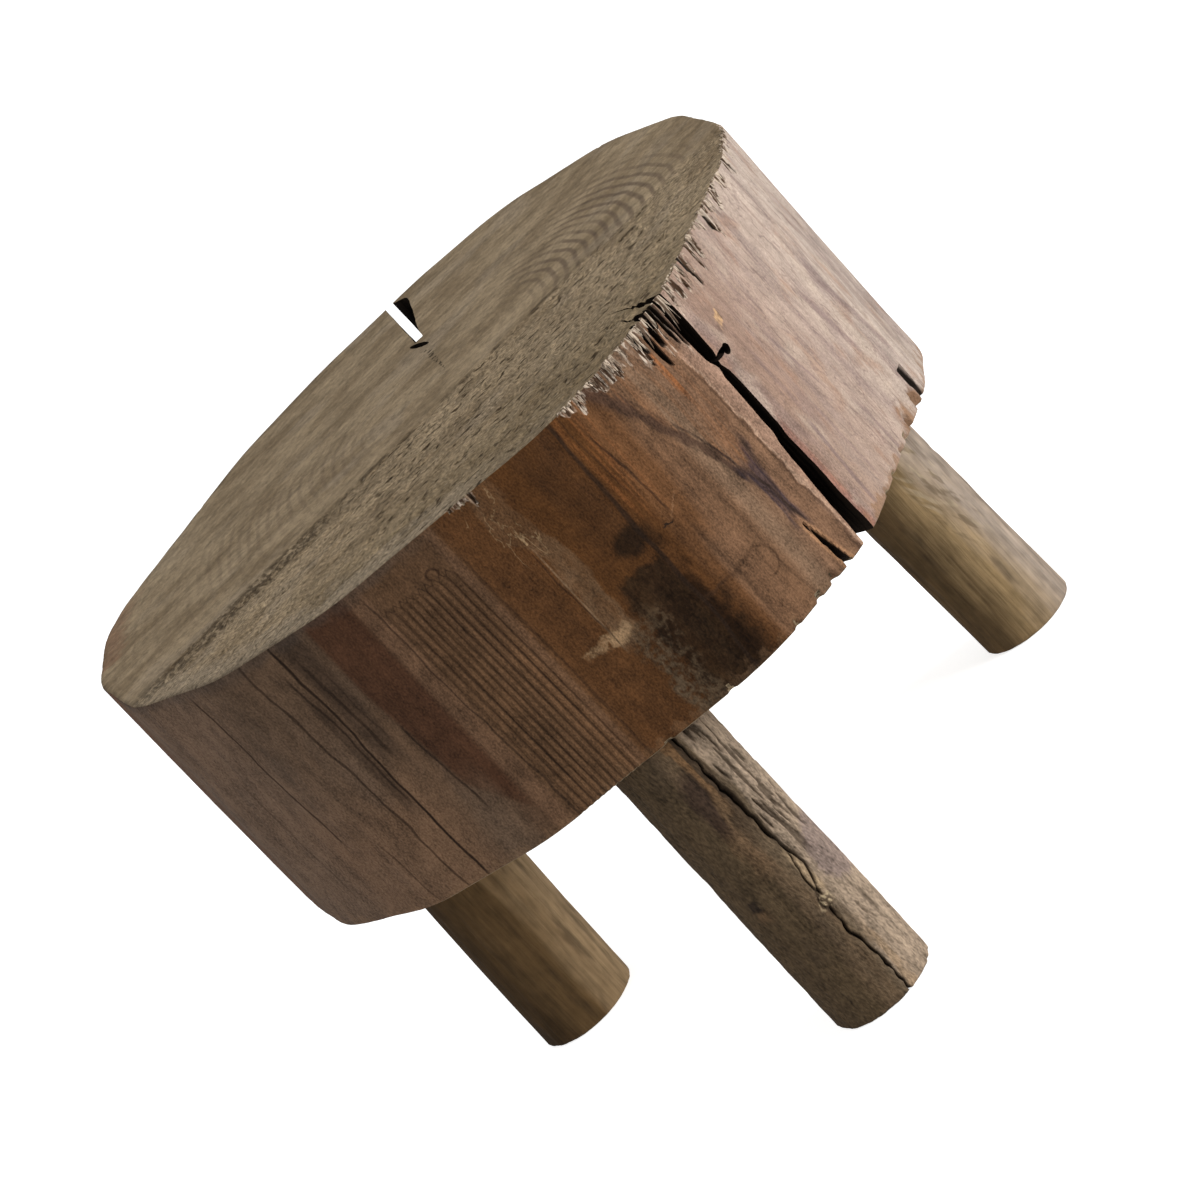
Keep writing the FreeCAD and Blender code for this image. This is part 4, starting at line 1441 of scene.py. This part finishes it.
# Coats of noise: size of its lumps, detail, seed, its two limits, share and colour
FLAT_COATS = (
    ((10, 10, 55), 3, 11, 0.0, 0.16, 0.35, LILAC),
    ((7, 7, 130), 2, 18, 0.025, 0.0, 0.4, rgb(0.165, 0.102, 0.084)),
    ((12, 12, 26), 4, 12, 0.02, 0.16, 0.45, rgb(0.450, 0.355, 0.280)),
    ((9, 9, 22), 4, 19, 0.05, 0.2, 0.4, rgb(0.280, 0.150, 0.092)),
    ((9, 9, 46), 3, 33, 0.016, 0.0, 0.45, rgb(0.150, 0.098, 0.090)),
)
BACK_COATS = (
    ((36, 36, 420), 0, 40, 0.0, 0.03, 0.55, rgb(0.098, 0.055, 0.031)),
    ((24, 24, 420), 0, 41, 0.07, 0.10, 0.6, rgb(0.150, 0.068, 0.034)),
)
BACK_GRAIN = (
    ((3, 3, 130), 3, 42, 0.04, 0.2, 0.55, rgb(0.060, 0.036, 0.021)),
    ((9, 9, 160), 2, 43, 0.018, 0.0, 0.6, rgb(0.036, 0.022, 0.014)),
)


def lay_noise(finish, coats, there, place=None):
    """Lay coats of noise where a mask allows them."""
    for size, detail, seed, low, high, share, colour in coats:
        finish.coat(share * there * finish.blotch(size, detail, seed, low, high, place), colour)


def pale_flat(finish, wavy, right_flat):
    """Patches, bleached streaks, fine threads and long lilac lines on the right flat."""
    lay_noise(finish, FLAT_COATS, right_flat, wavy)
    finish.coat(0.35 * finish.fade((-45, 3, 4), (205, 172)), rgb(0.420, 0.322, 0.256))
    finish.coat(grain_lines(finish, FLAT_LINES), rgb(0.190, 0.130, 0.120))
    finish.coat(0.2 * finish.fade((-46, 7, 6), (212, 246)), rgb(0.190, 0.124, 0.098))


def back_flats(finish, wavy):
    """The far side: hewn flats of differing browns, with streaks and threads of dark grain."""
    behind = finish.step(finish.bearing, 24, 48) + finish.step(finish.bearing, -158, -168)
    lay_noise(finish, BACK_COATS, behind)
    lay_noise(finish, BACK_GRAIN, behind, wavy)


def worn_edges(finish, wavy, right_flat):
    """The chipped lower edge, the painted shade under the left rim and the torn comb under the right one, its
    gaps in painted shade.
    """
    bearing = finish.bearing
    ragged = finish.height + 30 * finish.noise((6, 6, 8), 4, 13)
    spots = finish.near(bearing, -19, 1.0, 1.5) + finish.near(bearing, -25.5, 1.5, 1.5)
    chips = finish.step(ragged, UNDERSIDE + 11, UNDERSIDE + 4) * spots
    chipped = finish.most(0.5 * finish.step(ragged, UNDERSIDE + 5, UNDERSIDE + 1), 0.8 * chips)
    finish.coat(chipped * right_flat, rgb(0.220, 0.116, 0.058))
    finish.coat(0.2 * finish.step(ragged, UNDERSIDE + 3.4, UNDERSIDE + 0.6), TAN)
    under_rim = finish.step(finish.height + 8 * finish.noise((9, 9, 6), 2, 14), TOP - 7, TOP - 1)
    finish.coat(0.5 * under_rim * finish.step(bearing, -96, -108), rgb(0.062, 0.046, 0.036))
    comb = finish.attribute("torn")
    # Painted shade: where the torn recess is deepest, its gaps turn dark brown between the straw fibres
    gaps = finish.step(comb + 6 * finish.noise((1.5, 1.5, 8), 2, 16, wavy), 0.6, 1.8)
    hollow = finish.blend(finish.step(bearing, -54, -46), rgb(0.046, 0.025, 0.014), rgb(0.070, 0.040, 0.024))
    fibre = finish.blend(gaps, finish.blend(0.25, finish.ground, STRAW), hollow)
    strands = finish.blotch((0.9, 0.9, 9), 2, 15, 0.02, 0.12, wavy)
    fibre = finish.blend(0.8 * strands, fibre, rgb(0.540, 0.445, 0.355))
    finish.coat(finish.step(comb, 0.3, 0.9), fibre)


# %% The side as a whole
GROOVE_BROWN = rgb(0.034, 0.018, 0.010)
LINE_BROWN = rgb(0.018, 0.010, 0.006)
WOOD_GLOSS = 0.08


def side_marks(finish, wavy):
    """Every mark of the side, in the order in which the coats lie."""
    smear = finish.noise((7, 7, 9), 3, 5)
    wander = finish.noise((5, 5, 12), 5, 7)
    fibrous = finish.blotch((1.6, 1.6, 44), 3, 8, -0.04, 0.12)
    broken = 0.4 + 0.6 * finish.blotch((3, 3, 16), 3, 30, -0.14, 0.04)
    right_flat = finish.step(finish.bearing, -54.4, -52.8) * finish.step(finish.bearing, 30, 8)
    side_ground(finish)
    pale_strip(finish)
    side_stain(finish, smear)
    side_scratches(finish, smear)
    side_veins(finish, wander, fibrous, broken)
    side_lips(finish, wander, fibrous, broken)
    pale_flat(finish, wavy, right_flat)
    worn_edges(finish, wavy, right_flat)
    back_flats(finish, wavy)
    finish.coat(0.8 * ridge_lines(finish), GROOVE_BROWN)
    finish.coat(grain_lines(finish, GRAIN_LINES), LINE_BROWN)


def hewn_side():
    """Long grain, hewn and weathered, with dirt in every crack."""
    finish = Finish("hewn_side", WOOD_GLOSS)
    finish.turn_about(finish.east - PITH[0], finish.north - PITH[1])
    wavy = finish.wavy((26, 26, 50), 10, 20)
    side_marks(finish, wavy)
    fine = finish.noise((1.4, 1.4, 7), 2, 21, wavy)
    grain = finish.noise((7, 7, 90), 4, 22, wavy)
    mottle = finish.noise((6, 6, 9), 5, 23)
    speck = finish.noise((0.8, 0.8, 1.1), 2, 24)
    broad = finish.noise((28, 28, 22), 3, 27)
    bands = finish.noise((5, 5, 110), 3, 36, wavy) * finish.near(finish.bearing, -68, 9, 5)
    calm = 1 - 0.45 * finish.step(finish.bearing, -55, -48) * finish.step(finish.bearing, 70, 36)
    tone = 0.4 * fine + 0.75 * grain + 0.95 * mottle + 1.6 * speck + 0.5 * broad + 1.2 * bands
    colour = finish.scaled(finish.ground, 1 + calm * tone)
    # Painted shade and dirt: the checks, splits and the vee turn near black with their depth
    colour = finish.blend(0.96 * finish.step(finish.attribute("crack"), 0.35, 1.8), colour, DIRT_AND_SHADE)
    relief = 0.5 * fine + 0.8 * grain + mottle + 0.6 * speck
    return finish.paint(colour, 0.85 + 0.4 * grain, relief, depth=1.2)


def dirty_shaded_wall():
    """The inner walls of the open checks, black with old dirt and with painted shade."""
    finish = Finish("dirty_shaded_wall", gloss=0.05)
    grain = finish.noise((2, 2, 40), 3, 26)
    # Painted shade and dirt: the walls inside the checks are near black
    colour = finish.blend(finish.step(grain, -0.2, 0.2), rgb(0.006, 0.004, 0.003), rgb(0.021, 0.014, 0.010))
    return finish.paint(colour, 0.9 + 0.2 * grain, grain, depth=0.8)


# %% [markdown]
# ## The sawn ends
# End grain takes up dirt and greys more evenly than the side. What shows on it is the saw: long soft streaks
# along its path, a dark broken line where two cuts met, and torn pits on the nearer half. Under that lie the
# growth rings, clearest on the right. A Mapping node turns the coordinates to the saw's path once, so every
# streak can be stretched along it.

# %% End grain
OLIVE = rgb(0.196, 0.143, 0.086)
SAND = rgb(0.292, 0.221, 0.139)
ASH = rgb(0.290, 0.230, 0.163)
RING_BROWN = rgb(0.104, 0.072, 0.051)
PIT_BROWN = rgb(0.056, 0.038, 0.022)


def sawn_end(name, weathered):
    """Rough sawn end grain; only a weathered end has had years of dirt and wear."""
    finish = Finish(name, WOOD_GLOSS)
    path = finish.turned(about_z=-SAW_BEARING)
    across = finish.node("SeparateXYZ", sockets={0: path}, output="Y") / MM
    x, y = finish.east - PITH[0], finish.north - PITH[1]
    finish.turn_about(x, y)
    distance = finish.math("SQRT", x * x + y * y)
    from_line = across - SAW_LINE - 9 * finish.noise((34, 60, 60), 2, 1, path)
    rough = finish.step(from_line, 3.5, -3.5)
    finish.ground = finish.blend(finish.blotch((34, 22, 50), 5, 2, -0.16, 0.14, path), OLIVE, SAND)
    finish.coat(0.45 * finish.blotch((42, 26, 50), 4, 3, 0.02, 0.18, path), ASH)
    finish.coat(0.42 * finish.step(from_line, -40, -112), rgb(0.120, 0.086, 0.044))
    bleached = finish.near(finish.east, 118, 40, 40) * finish.near(finish.north, -72, 26, 30)
    bleached = bleached + 1.6 * finish.step(finish.east, -100, -140) * finish.step(finish.north, 40, 70)
    finish.coat(0.3 * bleached, rgb(0.330, 0.255, 0.165))
    swing = 10 * finish.noise((44, 44, 44), 2, 4)
    rings = finish.math("SINE", (distance + swing) * (2 * math.pi / RING_PITCH))
    clear = finish.step(distance, 40, 66) * finish.step(distance, 152, 112)
    clear = clear * finish.near(finish.bearing, 4, 28, 36)
    faint = finish.near(x, -95, 30, 30) * finish.near(y, 12, 16, 22)
    clear = clear * finish.blotch((26, 20, 30), 3, 7, -0.22, 0.06, path) + 0.28 * faint
    clear = clear * (1 - 0.75 * rough)
    finish.coat((0.12 + 0.58 * clear) * finish.step(rings, -0.3, 1.0), RING_BROWN)
    if weathered:
        saw_weather(finish, path, from_line, rough)
        rim_weather(finish, distance)
    front = finish.near(finish.east, 50, 50, 60)
    pits = finish.blotch((7, 2.8, 50), 3, 5, 0.06, 0.18, path) * (0.10 + (0.40 + 0.5 * front) * rough)
    finish.coat(pits, PIT_BROWN)
    speck = finish.noise((1.6, 1.0, 1.6), 3, 6, path)
    grit = finish.noise((5, 4, 5), 5, 8, path)
    streak = finish.noise((75, 8, 50), 4, 9, path)
    colour = finish.scaled(finish.ground, 1 + 1.5 * speck * (0.6 + rough) + 1.0 * grit + 0.6 * streak)
    relief = speck * (0.5 + rough) + 0.6 * grit - 0.9 * pits
    return finish.paint(colour, 0.88 + 0.3 * grit, relief, depth=1.1)


def saw_weather(finish, path, from_line, rough):
    """The dark meeting of the two cuts, and pale flecks on the rough half."""
    broken = finish.blotch((15, 30, 60), 4, 11, -0.06, 0.1, path)
    hatch = finish.blotch((2.6, 5, 60), 3, 16, -0.1, 0.06, path)
    far_left = finish.step(finish.east, -20, -60) * finish.step(finish.east, -178, -150)
    meeting = finish.near(from_line, 0, 0.9, 2.0) * broken * (1 - 0.7 * finish.step(finish.east, 60, 110))
    meeting = finish.most(meeting, 0.9 * finish.near(from_line, -5, 6.0, 6.0) * hatch * far_left)
    finish.coat(0.85 * meeting, PIT_BROWN)
    flecks = finish.blotch((3.2, 1.4, 3), 3, 12, 0.1, 0.22, path) * rough
    finish.coat(0.4 * flecks, rgb(0.380, 0.310, 0.225))


def rim_weather(finish, distance):
    """A speckled hairline, fine radial checks and the worn rim."""
    bearing = finish.bearing
    dots = finish.blotch((3, 3, 3), 2, 13, 0.0, 0.1)
    thin_check = finish.step(distance, 66, 56) * finish.step(distance, 2, 14)
    thin_check = thin_check * finish.near(bearing, 98, 1.2, 2.0)
    finish.coat(0.75 * thin_check * dots, DIRT_AND_SHADE)
    turns = bearing * (math.pi / 40) + 4 * finish.noise((30, 30, 30), 2, 14)
    spokes = finish.step(abs(finish.math("SINE", turns)), 0.03, 0.0) * finish.step(distance, 60, 95)
    finish.coat(0.3 * spokes * dots, rgb(0.075, 0.052, 0.032))
    inside = finish.attribute("inside_rim")
    pale_rim = finish.step(inside + 40 * finish.noise((16, 10, 16), 4, 15), 28, 10)
    finish.coat(0.55 * pale_rim * finish.near(bearing, -122, 24, 18), rgb(0.290, 0.234, 0.168))
    reddened = finish.step(inside + 30 * finish.noise((9, 9, 9), 3, 17), 18, 4)
    finish.coat(0.5 * reddened * finish.near(bearing, 172, 7, 9), rgb(0.200, 0.100, 0.062))
    worn = 0.45 * finish.step(inside, 3.5, 0.2)
    worn = worn + 0.35 * finish.step(inside, 7, 1) * finish.near(bearing, 122, 20, 12)
    worn = worn + 0.4 * finish.step(inside, 10, 1) * finish.near(bearing, -136, 9, 8)
    finish.coat(worn, rgb(0.105, 0.078, 0.052))


# %% Give the seat its four finishes
SIDE_SLOT, TOP_SLOT, UNDER_SLOT, WALL_SLOT = range(4)
LEVEL_FACE = 0.5
TOP_BAND = 3.5
face_count = len(seat.data.polygons)


def read_faces(name, width, kind=float):
    """One property of the seat's faces as an array."""
    values = np.empty(face_count * width, dtype=kind)
    seat.data.polygons.foreach_get(name, values)
    return values.reshape(-1, width)


marker_slot = seat.data.materials.find(wall_marker.name)
facing_up = read_faces("normal", 3)[:, 2]
face_height = read_faces("center", 3)[:, 2] / MM
slots = np.full(face_count, SIDE_SLOT, dtype=np.int32)
slots[(facing_up > LEVEL_FACE) & (face_height > TOP - TOP_BAND)] = TOP_SLOT
slots[(facing_up < -LEVEL_FACE) & (face_height < UNDERSIDE + TOP_BAND)] = UNDER_SLOT
slots[read_faces("material_index", 1, np.int32)[:, 0] == marker_slot] = WALL_SLOT
seat.data.materials.clear()
seat_finishes = hewn_side(), sawn_end("sawn_top", True), sawn_end("sawn_underside", False), dirty_shaded_wall()
for material in seat_finishes:
    seat.data.materials.append(material)
seat.data.polygons.foreach_set("material_index", slots)
bpy.data.materials.remove(wall_marker)
print("faces of side, top, underside and check walls:", np.bincount(slots))

# %% [markdown]
# ## The poles, the fibres and the wedges
# The poles are one wood, but each is dark on its left and pale on its right, partly from the weather and
# partly as painted shade and painted light. Each gets its own ramp round its own leaning axis. The torn
# fibres are fresh wood, so they are pale straw, and the wedges inside the joints are clean riven hardwood.

# %% Marks on single poles
POLE_GIRTH = 25
# Washes of the front pole, given like those of the side
FRONT_POLE_WASHES = (
    # Painted shade: the first wash is the soft shadow left of the fissure
    ((-71.5, 4, 4), (84, 104), 0.75, rgb(0.040, 0.026, 0.016)),
    ((-79, 2.5, 4), (100, 134), 0.75, rgb(0.185, 0.100, 0.046)),
    ((-89, 7, 8), (95, 10, 13), 0.4, rgb(0.140, 0.080, 0.042)),
    ((-92, 6, 7), (117, 10, 11), 0.85, rgb(0.030, 0.018, 0.013)),
    ((-57, 2.5, 4), (44, 26), 0.45, rgb(0.310, 0.205, 0.115)),
)
RIPPLE_SLANT = 24
RIPPLE_SIZE = (3.2, 3.2, 34)


def right_pole_marks(finish):
    """Pale slanting ripples half-way up the right pole."""
    slanted = finish.turned(about_y=RIPPLE_SLANT)
    there = finish.patch((-58, 16, 14), (88, 26, 20))
    ripples = finish.blotch(RIPPLE_SIZE, 2, 95, 0.0, 0.12, slanted)
    finish.coat(0.6 * there * ripples, rgb(0.360, 0.285, 0.190))
    furrows = finish.blotch(RIPPLE_SIZE, 2, 96, 0.04, 0.16, slanted)
    finish.coat(0.5 * there * furrows, rgb(0.110, 0.076, 0.043))


def pole_spot(finish, middle, level, size, soft):
    """A ragged round spot on a pole, of a size in mm."""
    ragged = 6 * finish.noise((3, 3, 3), 3, 91)
    return finish.step(finish.away(middle, level, POLE_GIRTH) + ragged, size, size - soft)


def front_pole_marks(finish):
    """The front pole's pale lens beside its fissure, painted shade left of it, a tan streak, a dark bruise,
    and its knob and knots.
    """
    finish.coat(0.85 * finish.patch((-61.5, 3, 4), (68, 8, 6)), rgb(0.300, 0.215, 0.130))
    wash(finish, FRONT_POLE_WASHES, 30 * finish.noise((5, 5, 22), 3, 92))
    knob = pole_spot(finish, *KNOB, 5.0, 2.5)
    gnarled = finish.blotch((1.8, 1.8, 2.2), 2, 93, -0.08, 0.08)
    finish.coat(0.85 * knob * gnarled, rgb(0.420, 0.325, 0.200))
    # Painted shade between the knob's bumps
    finish.coat(0.7 * knob * (1 - gnarled), rgb(0.090, 0.062, 0.038))
    finish.coat(0.4 * pole_spot(finish, -124, 64, 6.0, 5.0), rgb(0.150, 0.084, 0.044))
    finish.coat(0.85 * pole_spot(finish, -125, 69, 4.0, 2.0), rgb(0.022, 0.015, 0.011))
    finish.coat(0.6 * pole_spot(finish, -12, 66, 18, 4), rgb(0.200, 0.148, 0.140))


# %% Pole finishes
# Ramps round each pole, dark on its left and pale on its right, partly weather and partly painted shade and
# painted light; the front pole's step near -60 degrees paints a shaded and a lit face beside its fissure
POLE_STOPS = {
    "front": (
        (-180, rgb(0.074, 0.049, 0.028)), (-100, rgb(0.076, 0.051, 0.028)), (-80, rgb(0.094, 0.062, 0.036)),
        (-65, rgb(0.110, 0.078, 0.048)), (-58, rgb(0.234, 0.174, 0.122)), (-10, rgb(0.345, 0.261, 0.187)),
        (80, rgb(0.170, 0.122, 0.084)), (180, rgb(0.074, 0.049, 0.028)),
    ),
    "right": (
        (-180, rgb(0.098, 0.062, 0.030)), (-120, rgb(0.105, 0.068, 0.033)), (-82, rgb(0.250, 0.172, 0.087)),
        (-35, rgb(0.318, 0.255, 0.203)), (40, rgb(0.290, 0.220, 0.160)), (180, rgb(0.098, 0.062, 0.030)),
    ),
    "left": (
        (-180, rgb(0.050, 0.030, 0.014)), (-130, rgb(0.056, 0.033, 0.015)), (-82, rgb(0.142, 0.086, 0.038)),
        (-40, rgb(0.385, 0.266, 0.148)), (30, rgb(0.300, 0.215, 0.127)), (180, rgb(0.050, 0.030, 0.014)),
    ),
}
POLE_MARKS = {"front": front_pole_marks, "right": right_pole_marks}
# Length along the pole of its finest grain in mm, how much that grain shows, and its slant in degrees
POLE_GRAIN = {"front": (2.2, 2.0, 11), "right": (20, 0.6, 0), "left": (20, 0.6, 0)}


def peeled_pole(leg):
    """Weathered young wood with soft streaks along the pole, dirt and painted shade in its fissures, and a
    ramp of partly painted shade and light round it.
    """
    finish = Finish(f"peeled_{leg}_pole", WOOD_GLOSS)
    foot, lean = leg_axis(leg)
    x = finish.east - foot[0] - finish.height * lean[0]
    y = finish.north - foot[1] - finish.height * lean[1]
    finish.turn_about(x, y)
    seed = 30 + 10 * LEGS.index(leg)
    finish.ground = finish.around(finish.bearing + 60 * finish.noise((9, 9, 60), 2, seed), POLE_STOPS[leg])
    if leg in POLE_MARKS:
        POLE_MARKS[leg](finish)
    length, shown, slant = POLE_GRAIN[leg]
    fine = finish.noise((1.0, 1.0, length), 3, seed + 1, finish.turned(about_y=slant))
    broad = finish.noise((9, 9, 26), 3, seed + 6)
    mottle = finish.noise((5, 5, 8), 4, seed + 4)
    grain = finish.noise((4, 4, 45), 3, seed + 2)
    finish.coat(0.45 * finish.blotch((10, 10, 34), 3, seed + 3, 0.06, 0.2), rgb(0.050, 0.034, 0.022))
    colour = finish.scaled(finish.ground, 1 + shown * fine + 0.9 * grain + 0.7 * mottle + 0.8 * broad)
    crack = finish.attribute("crack")
    # Painted shade: shallow fissures and the dip beside the front fissure turn soft brown, deep ones near
    # black for dirt and shade
    colour = finish.blend(0.7 * finish.step(crack, 0.35, 1.2), colour, rgb(0.042, 0.028, 0.018))
    colour = finish.blend(0.85 * finish.step(crack, 1.4, 4.2), colour, DIRT_AND_SHADE)
    return finish.paint(colour, 0.85 + 0.4 * grain, 0.6 * shown * fine + grain, depth=1.2)


for leg, pole in poles.items():
    pole.data.materials.clear()
    pole.data.materials.append(peeled_pole(leg))
    print(pole.name, "wears", pole.data.materials[0].name)

# %% Fibre and wedge finishes
def torn_fibre():
    """Fresh, pale, splintered wood, browner in places."""
    finish = Finish("torn_fibre", WOOD_GLOSS)
    brown = finish.blotch((1.2, 1.2, 10), 2, 61, -0.08, 0.1)
    finish.ground = finish.blend(0.9 * brown, rgb(0.500, 0.405, 0.310), rgb(0.080, 0.046, 0.027))
    finish.coat(0.5 * finish.blotch((4, 4, 14), 2, 63, 0.0, 0.14), rgb(0.260, 0.205, 0.150))
    fine = finish.noise((0.5, 0.5, 5), 2, 62)
    return finish.paint(finish.scaled(finish.ground, 1 + 1.2 * fine), 0.85 + 0.3 * fine, fine, depth=0.3)


def riven_wedge():
    """Clean hardwood, split along its straight grain."""
    finish = Finish("riven_wedge", gloss=0.3)
    grain = finish.noise((1.5, 1.5, 50), 3, 71)
    colour = finish.blend(finish.step(grain, -0.15, 0.2), rgb(0.420, 0.290, 0.160), rgb(0.260, 0.165, 0.085))
    return finish.paint(colour, 0.7 + 0.4 * grain, grain, depth=0.4)


fibres.data.materials.append(torn_fibre())
wedge_finish = riven_wedge()
for leg in LEGS:
    for slot in frame["nodes"][f"wedge_{leg}"].material_slots:
        slot.material = wedge_finish
print("fibres wear", fibres.data.materials[0].name, "and the wedges", wedge_finish.name)

# %% [markdown]
# ## Shading and placing
# Soft shading suits worn wood, but the arrises, the cracks' lips and the sawn edges must stay crisp, so
# edges past a set angle are marked sharp. Every piece then hangs under the root body, and the imported seat
# and legs are hidden.

# %% Shade and place
SHARP_ANGLE = math.radians(38)
for piece in (seat, fibres, *poles.values()):
    piece.data.polygons.foreach_set("use_smooth", np.ones(len(piece.data.polygons), dtype=bool))
    piece.data.set_sharp_from_angle(angle=SHARP_ANGLE)
    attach(piece, "root")
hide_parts("seat_slab")
for leg, pole in poles.items():
    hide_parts(f"leg_{leg}")
